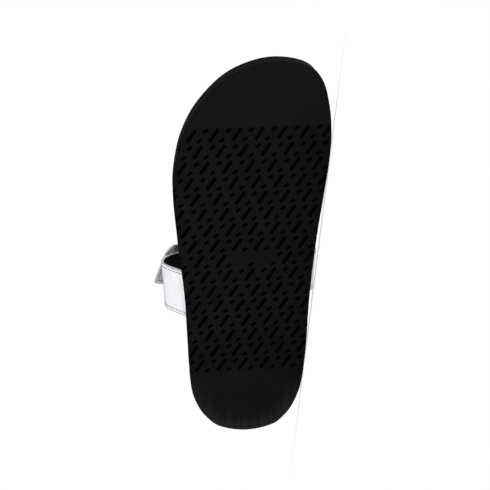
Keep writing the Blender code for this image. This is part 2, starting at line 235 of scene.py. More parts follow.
@dataclass(frozen=True)
class SoleForm:
    """Outline, toe spring and footbed heights of the sole, in mm."""

    length: float = 260.0
    heel_tip_side: float = -1.0
    toe_tip_side: float = 20.0
    side_steps: int = 132
    curve_steps: int = 14
    heel_lift: float = 1.0
    heel_lift_end: float = 16.0
    toe_spring: float = 7.0
    toe_spring_start: float = 196.0
    bowl_power: float = 1.8
    spine_share: float = 0.75
    stations: Row = (4, 12, 21, 34, 60, 100, 140, 176, 195, 213, 231, 248, 256.5)
    lateral: Row = (19.8, 29, 34.8, 38.9, 40.5, 42.4, 46.5, 49.2, 47.4, 42.7, 32.8, 15.9, -1)
    medial: Row = (17.8, 26.8, 32.4, 36.9, 40, 42.2, 46.2, 51.3, 53.8, 54.9, 53.6, 49, 40)
    bed_stations: Row = (0, 35, 75, 110, 150, 190, 225, 260)
    lateral_rim: Row = (29, 28, 26, 24.5, 23, 22, 21, 20.5)
    medial_rim: Row = (29, 29, 31, 30, 25.5, 22, 21, 20.5)
    bed: Row = (24, 20, 20.5, 21, 18.5, 16.5, 16.5, 17)

    @cached_property
    def rim_profiles(self) -> dict[Side, Profile]:
        """Rim heights of both sides."""
        return both_sides(self.bed_stations, self.lateral_rim, self.medial_rim)

    @cached_property
    def bed_profile(self) -> Profile:
        """Height of the footbed's lowest line."""
        return Profile(self.bed_stations, self.bed)

    @cached_property
    def outline(self) -> list[Vector]:
        """Ring of the sole's edge: up the lateral side from the heel tip and back down the medial side."""
        lateral = [Vector((x, -y)) for x, y in zip(self.stations, self.lateral)]
        medial = [Vector((x, y)) for x, y in zip(self.stations, self.medial)]
        tips = Vector((0.0, self.heel_tip_side)), Vector((self.length, self.toe_tip_side))
        knots = [tips[0], *lateral, tips[1], *reversed(medial)]
        curve = []
        for i, start in enumerate(knots):
            before, end, after = (knots[(i + k) % len(knots)] for k in (-1, 1, 2))
            span = (end - start).length
            lead = (end - before) * span / (span + (start - before).length)
            tail = (after - start) * span / (span + (after - end).length)
            shares = evenly(0.0, 1.0, self.curve_steps)[:-1]
            curve += [hermite(t, start, end, lead, tail) for t in shares]
        curve.append(curve[0])
        toe = (len(lateral) + 1) * self.curve_steps
        up = evenly_along(curve[: toe + 1], self.side_steps)
        down = evenly_along(curve[toe:], self.side_steps)
        return up[:-1] + down[:-1]

    @cached_property
    def ring_sides(self) -> list[Side]:
        """Side of each point of the outline."""
        return [Side.LATERAL] * (self.side_steps + 1) + [Side.MEDIAL] * (self.side_steps - 1)

    @cached_property
    def edge_lines(self) -> dict[Side, Profile]:
        """Sideways place of the sole's edge against the station, for both sides."""
        ring = self.outline
        halves = {Side.LATERAL: ring[: self.side_steps + 1]}
        halves[Side.MEDIAL] = [ring[0], *reversed(ring[self.side_steps:])]
        return {side: Profile(*zip(*[tuple(p) for p in half])) for side, half in halves.items()}

    def edge(self, along: float, side: Side) -> float:
        """Sideways place of the sole's edge at a station."""
        return self.edge_lines[side](along)

    def spring(self, along: float) -> float:
        """Height of the tread over its flat middle, at heel edge and toe."""
        heel = max(0.0, 1 - along / self.heel_lift_end)
        toe = max(0.0, (along - self.toe_spring_start) / (self.length - self.toe_spring_start))
        return self.heel_lift * heel**2 + self.toe_spring * toe**2

    def rim(self, along: float, side: Side) -> float:
        """Height of the footbed's rim at a station."""
        return self.rim_profiles[side](along) + self.spring(along)

    def ring(self, inset: float, height: Callable[[float, Side], float]) -> list[Vector]:
        """A ring of points at a distance inside the sole's edge.

        Args:
            inset: Distance from the edge.
            height: Gives a point's height from its station and side.

        Returns:
            The ring's points, in the outline's order.
        """
        line = self.outline
        points = []
        for i, (point, side) in enumerate(zip(line, self.ring_sides)):
            along = (line[(i + 1) % len(line)] - line[i - 1]).normalized()
            x, y = point.x - along.y * inset, point.y + along.x * inset
            points.append(Vector((x, y, height(x, side))))
        return points

    def bowl(self, lift: float, inset: float, shares: Sequence[float]) -> list[list[Vector]]:
        """Rings of the footbed's bowl, from its edge to the line down its middle.

        Args:
            lift: Height over the footbed's own face.
            inset: Distance of the first ring from the sole's edge.
            shares: How far each ring lies from edge (0) to middle (1).

        Returns:
            The rings.
        """
        edge = self.ring(inset, self.rim)
        opposite = [edge[0], *reversed(edge[1:])]
        middle = self.length / 2
        rings = []
        for share in shares:
            ring = []
            for point, partner in zip(edge, opposite):
                spine = Vector((middle + ((point.x + partner.x) / 2 - middle) * self.spine_share, 0.0))
                spine.y = (point.y + partner.y) / 2
                x, y = point.xy.lerp(spine, share)
                bed = self.bed_profile(x) + self.spring(x)
                ring.append(Vector((x, y, bed + (point.z - bed) * (1 - share) ** self.bowl_power + lift)))
            rings.append(ring)
        return rings


@dataclass(frozen=True)
class ArchForm:
    """Outer face of the upper, as arches over the foot, in mm."""

    sole: SoleForm
    girth: float = 235.0
    inset: float = 1.6
    fit_gap: float = 0.3
    apex_side: float = 3.0
    shoulder: float = 0.9
    lower_share: float = 0.15
    nudge: float = 0.004
    stations: Row = (70, 95, 118, 125, 145, 170)
    lateral_bulge: Row = (14.5, 14.8, 14.5, 1.5, 0.8, 0.5)
    medial_bulge: Row = (9, 9, 8.5, 7.5, 5, 2)
    widest: Row = (50, 49, 47, 43, 36, 31)
    apex: Row = (80, 76, 70.5, 66.5, 58, 48)

    @cached_property
    def profiles(self) -> tuple[Profile, Profile]:
        """Heights of the widest place and of the apex."""
        return Profile(self.stations, self.widest), Profile(self.stations, self.apex)

    @cached_property
    def bulges(self) -> dict[Side, Profile]:
        """How far each side stands out past its base."""
        return both_sides(self.stations, self.lateral_bulge, self.medial_bulge)

    def point(self, along: float, share: float) -> Vector:
        """Point on the upper's outer face.

        Args:
            along: Station from the heel.
            share: 0 at the lateral base, 0.5 at the apex, 1 at the medial base.

        Returns:
            The point.
        """
        side = Side.LATERAL if share < 0.5 else Side.MEDIAL
        rise = min(share, 1 - share)
        bulge = self.bulges[side](along)
        widest_y = self.sole.edge(along, side) + side.value * (bulge - self.inset)
        widest_z, apex_z = (profile(along) for profile in self.profiles)
        if rise < self.lower_share:
            drop = 1 - rise / self.lower_share
            base_z = self.sole.rim(along, side) + self.fit_gap
            y = widest_y - side.value * bulge * (1 - math.cos(math.pi * drop)) / 2
            return Vector((along, y, widest_z - (widest_z - base_z) * drop))
        angle = math.pi / 2 * min((rise - self.lower_share) / (0.5 - self.lower_share), 1.0)
        y = self.apex_side + (widest_y - self.apex_side) * max(math.cos(angle), 0.0) ** self.shoulder
        return Vector((along, y, widest_z + (apex_z - widest_z) * math.sin(angle) ** self.shoulder))

    def section(self, along: float, share: float) -> tuple[Vector, Vector, Vector]:
        """Point, outward normal and direction towards the medial side, in the arch's own plane."""
        before = self.point(along, max(share - self.nudge, 0.0))
        after = self.point(along, min(share + self.nudge, 1.0))
        forward = (after - before).normalized()
        return self.point(along, share), Vector((0.0, -forward.z, forward.y)), forward


@dataclass(frozen=True)
class Crease:
    """A soft, bowed trough (depth above 0) or ridge (below 0) between two places on a strap, in mm."""

    fade: ClassVar[float] = 3.0
    start: Place
    end: Place
    width: float
    depth: float
    bow: float = 0.0

    def moved(self, along: float) -> "Crease":
        """The same crease, farther along the shoe."""
        start, end = ((x + along, y) for x, y in (self.start, self.end))
        return replace(self, start=start, end=end)

    def sink(self, at: Place) -> float:
        """How deep the leather lies at a place.

        Args:
            at: Place on the flat strap.

        Returns:
            The depth: 0 away from the crease.
        """
        start = Vector(self.start)
        run = Vector(self.end) - start
        t = min(max((Vector(at) - start).dot(run) / run.length_squared, 0.0), 1.0)
        rise = 1 - (2 * t - 1) ** 2
        middle = start + run * t + run.orthogonal().normalized() * self.bow * rise
        away = (Vector(at) - middle).length / self.width
        return 0.0 if away > self.fade else self.depth * rise * math.exp(-away * away)


# Materials


@dataclass(frozen=True)
class Grain:
    """A noise: its scale, in all or by axis, and the band of its values that shows as patches."""

    scale: float | Triple
    detail: float = 3.0
    roughness: float = 0.55
    band: Band = (0.0, 1.0)
    weight: float = 1.0


class Signal:
    """A socket's value in a node tree, with arithmetic that adds Math nodes."""

    def __init__(self, nodes: "Nodes", socket: bpy.types.NodeSocket) -> None:
        """Wraps an output socket."""
        self.nodes = nodes
        self.socket = socket

    def math(self, operation: str, *values: "Signal | float") -> "Signal":
        """A Math node on the given values."""
        return self.nodes.add("Math", dict(enumerate(values)), operation=operation)

    def __add__(self, other: "Signal | float") -> "Signal":
        """Sum."""
        return self.math("ADD", self, other)

    def __radd__(self, other: float) -> "Signal":
        """Sum, from the right."""
        return self.math("ADD", other, self)

    def __sub__(self, other: "Signal | float") -> "Signal":
        """Difference."""
        return self.math("SUBTRACT", self, other)

    def __rsub__(self, other: float) -> "Signal":
        """Difference, from the right."""
        return self.math("SUBTRACT", other, self)

    def __mul__(self, other: "Signal | float") -> "Signal":
        """Product."""
        return self.math("MULTIPLY", self, other)

    def span(self, low: float, high: float) -> "Signal":
        """A value that runs from low to high as this one runs from 0 to 1."""
        return self * (high - low) + low

    def above(self, low: float, high: float) -> "Signal":
        """Soft mask: 0 below low, 1 above high."""
        sockets = {"Value": self, "From Min": low, "From Max": high}
        return self.nodes.add("MapRange", sockets, interpolation_type="SMOOTHSTEP")

    def below(self, low: float, high: float) -> "Signal":
        """Soft mask: 1 below low, 0 above high."""
        return 1 - self.above(low, high)

    def near(self, middle: float, width: float) -> "Signal":
        """Soft mask: 1 at a value, 0 a width away from it."""
        return self.math("ABSOLUTE", self - middle).below(0.0, width)

    def patches(self, grain: Grain) -> "Signal":
        """The patches of a grain whose noise this is."""
        mask = self.above(*grain.band)
        return mask if grain.weight == 1.0 else mask * grain.weight

    def output(self, name: str) -> "Signal":
        """Another output of the same node."""
        return Signal(self.nodes, self.socket.node.outputs[name])


class Nodes:
    """Builds one node tree."""

    mix_sockets: tuple[int, int, int] = (0, 6, 7)
    mix_result: int = 2
    length_result: int = 1

    def __init__(self, tree: bpy.types.NodeTree) -> None:
        """Starts on an empty tree."""
        self.tree = tree
        tree.nodes.clear()

    def add(
        self, kind: str, sockets: dict | None = None, output: int = 0, **settings: object
    ) -> Signal | None:
        """Adds a node.

        Args:
            kind: The node's type, without the word that all shader nodes' types start with.
            sockets: Values or signals for its inputs, by name or number.
            output: Number of the output that is returned.
            settings: The node's properties, set first.

        Returns:
            The output, or None where the node has none.
        """
        node = self.tree.nodes.new("ShaderNode" + kind)
        for name, value in settings.items():
            setattr(node, name, value)
        for key, value in (sockets or {}).items():
            socket = node.inputs[key]
            if isinstance(value, Signal):
                self.tree.links.new(value.socket, socket)
            elif isinstance(value, tuple) and len(value) < len(socket.default_value):
                socket.default_value = (*value, 1.0)
            else:
                socket.default_value = value
        return Signal(self, node.outputs[output]) if node.outputs else None

    def mix(self, factor: "Signal | float", first: "Signal | Colour", second: "Signal | Colour") -> Signal:
        """Blend of two colours."""
        sockets = dict(zip(self.mix_sockets, (factor, first, second)))
        return self.add("Mix", sockets, self.mix_result, data_type="RGBA")

    def vector(self, operation: str, first: Signal, second: Triple) -> Signal:
        """A Vector Math node on two vectors."""
        return self.add("VectorMath", {0: first, 1: second}, operation=operation)

    def length(self, vector: Signal) -> Signal:
        """Length of a vector."""
        return self.add("VectorMath", {0: vector}, self.length_result, operation="LENGTH")

    def noise(self, vector: Signal, grain: Grain) -> Signal:
        """Noise from 0 to 1."""
        scale = grain.scale
        if isinstance(scale, tuple):
            vector = self.add("Mapping", {"Vector": vector, "Scale": scale})
            scale = 1.0
        sockets = {"Vector": vector, "Scale": scale, "Detail": grain.detail, "Roughness": grain.roughness}
        return self.add("TexNoise", sockets)

    def patches(self, vector: Signal, grain: Grain) -> Signal:
        """The patches of a grain."""
        return self.noise(vector, grain).patches(grain)

    def cells(self, vector: Signal, scale: float, feature: str = "SMOOTH_F1") -> Signal:
        """Distance in a field of cells."""
        return self.add("TexVoronoi", {"Vector": vector, "Scale": scale}, feature=feature)

    def attribute(self, name: str) -> Signal:
        """A number kept on the mesh."""
        return self.add("Attribute", attribute_name=name).output("Fac")

    def relief(self, *layers: tuple[Signal, Band]) -> Signal:
        """Normals of heights that lie one over the other, each with its distance and strength."""
        under = {}
        for height, (distance, strength) in layers:
            sockets = {"Height": height, "Distance": distance, "Strength": strength, **under}
            under = {"Normal": self.add("Bump", sockets)}
        return under["Normal"]

    def surface(self, sockets: dict) -> None:
        """Ends a material's tree with its shader."""
        self.add("OutputMaterial", {"Surface": self.add("BsdfPrincipled", sockets)})


def start_material(name: str) -> tuple[bpy.types.Material, Nodes]:
    """A new material, and the builder of its tree."""
    made = bpy.data.materials.new(name)
    made.use_nodes = True
    return made, Nodes(made.node_tree)


class Finish:
    """A material that follows the shoe's own axes."""

    name = "finish"
    specular: float = 0.5

    def __init__(self, pose: Pose) -> None:
        """Keeps how the shoe lies."""
        self.pose = pose

    def dress(self, nodes: Nodes, shoe: Signal) -> dict:
        """Sockets of the finish's shader.

        Args:
            nodes: Builder of the material's tree.
            shoe: Place in the shoe's own axes, in metres.

        Returns:
            Values and signals by socket name.
        """
        raise NotImplementedError

    @cached_property
    def material(self) -> bpy.types.Material:
        """The finished material."""
        made, nodes = start_material(self.name)
        back = self.pose.matrix.inverted()
        place = {"Location": tuple(back.translation), "Rotation": tuple(back.to_euler())}
        here = nodes.add("TexCoord").output("Object")
        shoe = nodes.add("Mapping", {"Vector": here, **place})
        nodes.surface({"Specular IOR Level": self.specular, **self.dress(nodes, shoe)})
        return made


class TreadRubber(Finish):
    """Near-black rubber: bluish between the slots, browner and smeared at toe and heel."""

    name = "tread_rubber"
    specular: float = 0.02
    patterned: Colour = (0.0078, 0.0081, 0.0095)
    smooth: Colour = (0.0098, 0.0093, 0.0108)
    clouded: Colour = (0.0118, 0.0114, 0.013)
    smear: Colour = (0.027, 0.0255, 0.0285)
    shade: Colour = (0.0, 0.0, 0.0)
    zone: Band = (0.046, 0.2185)
    zone_blur: float = 0.001
    heel_middle: Triple = (0.041, -0.001, 0.0)
    heel_reach: Triple = (0.041, 0.0395, 1.0)
    heel_rim: Band = (0.68, 1.08)
    heel_back: Band = (0.026, 0.044)
    heel_smears: float = 0.85
    shade_reach: Band = (0.02, 0.11)
    shade_weight: float = 0.3
    cloud: Grain = Grain(34.0, band=(0.35, 0.75), weight=0.35)
    streaks: Grain = Grain((26.0, 300.0, 26.0), 4.0)
    streak_shift: Band = (-0.33, 0.33)
    scuffs: Grain = Grain((150.0, 40.0, 60.0), 5.0, 0.7, (0.62, 0.8), 0.16)
    grain: Grain = Grain(2600.0, 2.0)
    grain_relief: Band = (0.0001, 0.35)
    scuff_relief: Band = (0.0002, 0.25)
    roughness: Band = (0.66, 0.56)
    smear_roughness: float = 0.1

    def dress(self, nodes: Nodes, shoe: Signal) -> dict:
        """See Finish."""
        along = nodes.add("SeparateXYZ", {"Vector": shoe}).output("X")
        heel, toe = self.zone
        inside = along.above(heel - self.zone_blur, heel) * along.below(toe, toe + self.zone_blur)
        cloud, streaks, scuffs = (nodes.noise(shoe, item) for item in (self.cloud, self.streaks, self.scuffs))
        from_heel = nodes.vector("DIVIDE", nodes.vector("SUBTRACT", shoe, self.heel_middle), self.heel_reach)
        outwards = nodes.length(nodes.vector("MULTIPLY", from_heel, (1.0, 1.0, 0.0)))
        rim = (outwards + streaks.span(*self.streak_shift)).above(*self.heel_rim)
        smears = rim * along.below(*self.heel_back) * self.heel_smears + scuffs.patches(self.scuffs)
        base = nodes.mix(inside, self.smooth, self.patterned)
        base = nodes.mix(along.below(*self.shade_reach) * self.shade_weight, base, self.shade)
        base = nodes.mix(cloud.patches(self.cloud), base, self.clouded)
        grain = nodes.noise(shoe, self.grain)
        return {
            "Base Color": nodes.mix(smears, base, self.smear),
            "Roughness": cloud.span(*self.roughness) + smears * self.smear_roughness,
            "Normal": nodes.relief((grain, self.grain_relief), (scuffs, self.scuff_relief)),
        }


class SlotRubberPaintedShade(Finish):
    """The rubber inside the tread's slots, coloured darker than the tread as painted shade inside the slots.
    """

    name = "slot_rubber_painted_shade"
    specular: float = 0.03
    # Painted shade: darker than the tread's rubber to stand for the shade inside the slots; dust patches
    # lighten it a little.
    clean: Colour = (0.0042, 0.0041, 0.0044)
    dusty: Colour = (0.009, 0.0086, 0.0088)
    dust: Grain = Grain(240.0, band=(0.55, 0.9))
    dust_weight: float = 0.3
    roughness: Band = (0.8, 0.7)

    def dress(self, nodes: Nodes, shoe: Signal) -> dict:
        """See Finish."""
        dust = nodes.patches(shoe, self.dust)
        return {
            "Base Color": nodes.mix(dust * self.dust_weight, self.clean, self.dusty),
            "Roughness": dust.span(*self.roughness),
        }


class FootbedFoam(Finish):
    """Black moulded foam with a fine pore."""

    name = "footbed_foam"
    specular: float = 0.012
    shades: tuple[Colour, Colour] = ((0.005, 0.005, 0.0054), (0.0085, 0.0083, 0.0088))
    scuffed: Colour = (0.02, 0.0195, 0.0195)
    cloud: Grain = Grain(60.0)
    scuffs: Grain = Grain((30.0, 30.0, 260.0), 4.0, 0.65, (0.58, 0.8), 0.3)
    pore_scale: float = 1500.0
    pore_relief: Band = (0.00015, 0.4)
    dents: Grain = Grain(420.0)
    dent_relief: Band = (0.0003, 0.25)
    roughness: Band = (0.62, 0.78)

    def dress(self, nodes: Nodes, shoe: Signal) -> dict:
        """See Finish."""
        cloud = nodes.noise(shoe, self.cloud)
        pores = nodes.cells(shoe, self.pore_scale, "F1")
        dents = nodes.noise(shoe, self.dents)
        base = nodes.mix(cloud, *self.shades)
        return {
            "Base Color": nodes.mix(nodes.patches(shoe, self.scuffs), base, self.scuffed),
            "Roughness": cloud.span(*self.roughness),
            "Normal": nodes.relief((pores, self.pore_relief), (dents, self.dent_relief)),
        }


class InsoleSuede(Finish):
    """Black suede cover, a little pressed and polished under heel and ball."""

    name = "insole_suede"
    specular: float = 0.08
    sheen: dict = {"Sheen Weight": 0.06, "Sheen Roughness": 0.5}
    shades: tuple[Colour, Colour] = ((0.010, 0.0098, 0.0098), (0.021, 0.0202, 0.0202))
    raised: Colour = (0.03, 0.029, 0.029)
    pressed: tuple[tuple[Triple, float], ...] = (((0.036, 0.0, 0.022), 0.028), ((0.186, 0.012, 0.022), 0.034))
    pressed_fade: Band = (0.3, 1.4)
    nap: Grain = Grain((700.0, 1500.0, 700.0), 4.0, 0.7, (0.35, 0.75), 0.5)
    nap_relief: Band = (0.00025, 0.5)
    brushed: Grain = Grain(46.0, 4.0, 0.6, (0.3, 0.7))
    roughness: Band = (0.86, 0.7)

    def dress(self, nodes: Nodes, shoe: Signal) -> dict:
        """See Finish."""
        nap = nodes.noise(shoe, self.nap)
        worn = 0.0
        for middle, reach in self.pressed:
            far = nodes.length(nodes.vector("SUBTRACT", shoe, middle))
            worn = far.below(*(reach * share for share in self.pressed_fade)) + worn
        base = nodes.mix(nodes.patches(shoe, self.brushed), *self.shades)
        return {
            "Base Color": nodes.mix(nap.patches(self.nap), base, self.raised),
            "Roughness": worn.span(*self.roughness),
            "Normal": nodes.relief((nap, self.nap_relief)),
            **self.sheen,
        }


class SilverLeather(Finish):
    """Foiled silver leather: fine grain, soft waves, sewn edges and crinkles near the sole."""

    name = "silver_leather"
    foil: Colour = (0.9, 0.872, 0.94)
    dull: Colour = (0.72, 0.705, 0.755)
    bare: Colour = (0.24, 0.11, 0.062)
    seam: Band = (2.3, 1.1)
    seam_dulling: float = 0.12
    seam_dip: float = 0.6
    edge_roll: Band = (0.0, 0.9)
    rubbed_reach: Band = (0.1, 0.75)
    rubbed: Grain = Grain(300.0, band=(0.42, 0.62))
    rubbed_dulling: float = 0.9
    low_reach: Band = (3.0, 17.0)
    cell_scale: float = 1350.0
    cell_weight: float = 0.6
    fine: Grain = Grain(900.0)
    fine_weight: float = 0.4
    waves: Grain = Grain(62.0, 2.0, 0.5)
    crinkle: Grain = Grain((520.0, 260.0, 210.0), 3.0, 0.6)
    blotch: Grain = Grain(120.0, 4.0, 0.6, (0.45, 0.8), 0.45)
    reliefs: tuple[Band, ...] = ((0.00012, 0.3), (0.0016, 0.35), (0.0011, 0.6), (0.0005, 0.7))
    polish: float = 0.2
    blotch_roughness: float = 0.14
    crinkle_roughness: float = 0.1
    rubbed_roughness: float = 0.3

    def dress(self, nodes: Nodes, shoe: Signal) -> dict:
        """See Finish."""
        edge = nodes.attribute(EDGE_MM)
        low = nodes.attribute(BASE_MM).below(*self.low_reach)
        seam = edge.near(*self.seam)
        rubbed = edge.below(*self.rubbed_reach) * nodes.patches(shoe, self.rubbed)
        blotch, crinkle = (nodes.noise(shoe, item) for item in (self.blotch, self.crinkle))
        colour = nodes.mix(blotch.patches(self.blotch) + seam * self.seam_dulling, self.foil, self.dull)
        cells = nodes.cells(shoe, self.cell_scale) * self.cell_weight
        heights = (
            cells + nodes.noise(shoe, self.fine) * self.fine_weight,
            nodes.noise(shoe, self.waves),
            crinkle * low,
            1 - seam * self.seam_dip - edge.below(*self.edge_roll),
        )
        roughness = self.polish + blotch * self.blotch_roughness + low * crinkle * self.crinkle_roughness
        return {
            "Base Color": nodes.mix(rubbed, colour, self.bare),
            "Metallic": 1 - rubbed * self.rubbed_dulling,
            "Roughness": roughness + rubbed * self.rubbed_roughness,
            "Normal": nodes.relief(*zip(heights, self.reliefs)),
        }


class StrapLeather(SilverLeather):
    """The closing strap's leather, darker and duller than the upper's."""

    name = "strap_leather"
    foil: Colour = (0.84, 0.82, 0.87)
    dull: Colour = (0.56, 0.55, 0.585)
    polish: float = 0.24


class StrapUnderside(Finish):
    """Inner face of the closing strap: grey and mottled, lighter and less spotted towards the end of its
    tail.
    """

    name = "strap_underside"
    clean: Colour = (0.92, 0.9, 0.95)
    grey: Colour = (0.17, 0.168, 0.19)
    mottle: Colour = (0.1, 0.096, 0.108)
    groove: Colour = (0.22, 0.2, 0.22)
    clean_reach: Band = (16.0, 30.0)
    seam: Band = (2.3, 0.8)
    seam_weight: float = 0.8
    spots: Grain = Grain(230.0, 4.0, 0.65, (0.42, 0.72))
    spot_weight: Band = (0.2, 0.55)
    cell_scale: float = 1100.0
    relief: Band = (0.0003, 0.4)
    shine: Band = (0.45, 0.15)
    roughness: Band = (0.4, 0.6)

    def dress(self, nodes: Nodes, shoe: Signal) -> dict:
        """See Finish."""
        away_from_tail_end = nodes.attribute(BASE_MM).above(*self.clean_reach)
        seam = nodes.attribute(EDGE_MM).near(*self.seam) * self.seam_weight
        spots = nodes.noise(shoe, self.spots)
        shade = nodes.mix(seam, nodes.mix(away_from_tail_end, self.clean, self.grey), self.groove)
        mottled = spots.patches(self.spots) * away_from_tail_end.span(*self.spot_weight)
        return {
            "Base Color": nodes.mix(mottled, shade, self.mottle),
            "Metallic": spots.span(*self.shine),
            "Roughness": spots.span(*self.roughness),
            "Normal": nodes.relief((nodes.cells(shoe, self.cell_scale) + spots, self.relief)),
        }


class Lining(Finish):
    """Black lining with a short nap."""

    name = "black_lining"
    specular: float = 0.06
    shades: tuple[Colour, Colour] = ((0.006, 0.006, 0.0062), (0.013, 0.0125, 0.0125))
    cloud: Grain = Grain(90.0, band=(0.35, 0.75))
    nap: Grain = Grain(1500.0, 3.0, 0.65)
    relief: Band = (0.00015, 0.4)
    roughness: Band = (0.8, 0.65)

    def dress(self, nodes: Nodes, shoe: Signal) -> dict:
        """See Finish."""
        cloud = nodes.noise(shoe, self.cloud)
        return {
            "Base Color": nodes.mix(cloud.patches(self.cloud), *self.shades),
            "Roughness": cloud.span(*self.roughness),
            "Normal": nodes.relief((nodes.noise(shoe, self.nap), self.relief)),
        }


class CutEdge(Finish):
    """Edge of the leather: foil turned over it, and a copper-brown line of fibres next to the inner face."""

    name = "cut_edge"
    foil: Colour = (0.86, 0.84, 0.89)
    shine: float = 0.35
    copper: tuple[Colour, Colour] = ((0.15, 0.078, 0.054), (0.36, 0.225, 0.165))
    inner: Colour = (0.007, 0.0068, 0.007)
    turnover: Band = (0.75, 0.87)
    lining: Band = (0.9, 0.98)
    fibre: Grain = Grain(1400.0, 4.0, 0.65, (0.3, 0.7))
    wander: Grain = Grain(160.0)
    wander_shift: Band = (-0.2, 0.2)
    relief: Band = (0.0002, 0.4)
    roughness: Band = (0.3, 0.7)

    def dress(self, nodes: Nodes, shoe: Signal) -> dict:
        """See Finish."""
        depth = nodes.attribute(THROUGH)
        fibre = nodes.noise(shoe, self.fibre)
        bare = (depth + nodes.noise(shoe, self.wander).span(*self.wander_shift)).above(*self.turnover)
        raw = nodes.mix(fibre.patches(self.fibre), *self.copper)
        return {
            "Base Color": nodes.mix(depth.above(*self.lining), nodes.mix(bare, self.foil, raw), self.inner),
            "Metallic": (1 - bare) * self.shine,
            "Roughness": bare.span(*self.roughness),
            "Normal": nodes.relief((fibre, self.relief)),
        }


class StrapEdge(CutEdge):
    """Edge of the closing strap, with foil on both faces and a thin dark line between them."""

    name = "strap_edge"
    foil: Colour = (0.9, 0.87, 0.915)
    copper: tuple[Colour, Colour] = ((0.2, 0.14, 0.13), (0.34, 0.26, 0.25))
    inner: Colour = (0.5, 0.485, 0.52)
    turnover: Band = (0.62, 0.74)
    lining: Band = (0.82, 0.9)


class Thread(Finish):
    """Dark waxed thread."""

    name = "dark_thread"
    shades: tuple[Colour, Colour] = ((0.016, 0.015, 0.017), (0.07, 0.066, 0.07))
    twist: Grain = Grain(2400.0, 2.0)
    relief: Band = (0.0001, 0.6)
    roughness: Band = (0.62, 0.47)

    def dress(self, nodes: Nodes, shoe: Signal) -> dict:
        """See Finish."""
        twist = nodes.noise(shoe, self.twist)
        return {
            "Base Color": nodes.mix(twist, *self.shades),
            "Roughness": twist.span(*self.roughness),
            "Normal": nodes.relief((twist, self.relief)),
        }


@dataclass(frozen=True)
class Finishes:
    """Every finish of the sandal."""

    tread: TreadRubber
    slot: SlotRubberPaintedShade
    foam: FootbedFoam
    suede: InsoleSuede
    silver: SilverLeather
    strap: StrapLeather
    underside: StrapUnderside
    lining: Lining
    cut_edge: CutEdge
    strap_edge: StrapEdge
    thread: Thread

    @classmethod
    def for_pose(cls, pose: Pose) -> "Finishes":
        """The finishes for a sandal that lies in a pose."""
        return cls(*[field.type(pose) for field in fields(cls)])


# Pieces


def add_object(name: str, data: bpy.types.ID) -> bpy.types.Object:
    """A new object in the scene, at the origin and unturned."""
    obj = bpy.data.objects.new(name, data)
    bpy.context.scene.collection.objects.link(obj)
    return obj


def add_mesh(name: str, bm: Mesh, materials: Iterable[bpy.types.Material]) -> bpy.types.Object:
    """A new object of a mesh in metres, whose builder is freed."""
    mesh = bpy.data.meshes.new(name)
    bm.to_mesh(mesh)
    bm.free()
    for material in materials:
        mesh.materials.append(material)
    return add_object(name, mesh)


@dataclass(frozen=True)
class Bench:
    """Where the pieces are put together: how the sandal lies and what it is finished with."""

    pose: Pose
    finishes: Finishes

    def place(self, name: str, bm: Mesh, finishes: Iterable[Finish]) -> bpy.types.Object:
        """Makes an object of a mesh in the shoe's own axes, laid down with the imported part.

        Args:
            name: The piece's name.
            bm: Its mesh, in mm; freed here.
            finishes: Its finishes, by material number.

        Returns:
            The object.
        """
        bm.transform(self.pose.matrix @ Matrix.Scale(MM, 4))
        return add_mesh(name, bm, [finish.material for finish in finishes])

    @staticmethod
    def settle(obj: bpy.types.Object) -> None:
        """Makes an object's modifiers part of its mesh, and shades it smooth between its sharp edges."""
        graph = bpy.context.evaluated_depsgraph_get()
        finished = bpy.data.meshes.new_from_object(obj.evaluated_get(graph))
        inner = obj.vertex_groups.get(INNER_FACE)
        if inner:
            through = finished.attributes.new(THROUGH, "FLOAT", "POINT")
            for vert, item in zip(finished.vertices, through.data):
                item.value = sum(group.weight for group in vert.groups if group.group == inner.index)
            obj.vertex_groups.clear()
        rough = obj.data
        obj.modifiers.clear()
        obj.data = finished
        bpy.data.meshes.remove(rough)
        finished.shade_smooth()
        finished.set_sharp_from_angle(angle=SHARP_ANGLE)

    @staticmethod
    def hand_in(obj: bpy.types.Object, slot: str, node: str | None = None) -> None:
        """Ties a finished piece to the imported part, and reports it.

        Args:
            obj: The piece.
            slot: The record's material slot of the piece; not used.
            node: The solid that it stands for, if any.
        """
        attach(obj, "root")
        if node:
            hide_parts(node)
        LOG.info("%s: %d faces", obj.name, len(obj.data.polygons))


def add_ring(bm: Mesh, points: Sequence[Vector], capped: bool) -> list[bmesh.types.BMVert]:
    """Adds a closed ring of vertices, with a face across it where it is capped."""
    ring = bmesh.ops.create_circle(bm, cap_ends=capped, segments=len(points), radius=1.0)["verts"]
    for vert, point in zip(ring, points):
        vert.co = point
    return ring


def ring_edges(bm: Mesh, ring: list[bmesh.types.BMVert]) -> list[bmesh.types.BMEdge]:
    """The edges round a ring."""
    return [bm.edges.get(pair) for pair in zip(ring, ring[1:] + ring[:1])]


def ring_loft(rings: Sequence[Sequence[Vector]], capped: bool) -> Mesh:
    """Lofts a skin from ring to ring, with its normals outwards.

    Args:
        rings: Rings of equally many points, in mm.
        capped: Whether a face closes the first ring.

    Returns:
        The skin.
    """
    bm = bmesh.new()
    ring = add_ring(bm, rings[0], capped)
    for points in rings[1:]:
        grown = bmesh.ops.extrude_edge_only(bm, edges=ring_edges(bm, ring))["geom"]
        fresh = {item for item in grown if isinstance(item, bmesh.types.BMVert)}
        ring = [next(v for e in vert.link_edges if (v := e.other_vert(vert)) in fresh) for vert in ring]
        for vert, point in zip(ring, points):
            vert.co = point
    bmesh.ops.remove_doubles(bm, verts=bm.verts, dist=WELD_MM)
    bmesh.ops.recalc_face_normals(bm, faces=bm.faces)
    return bm


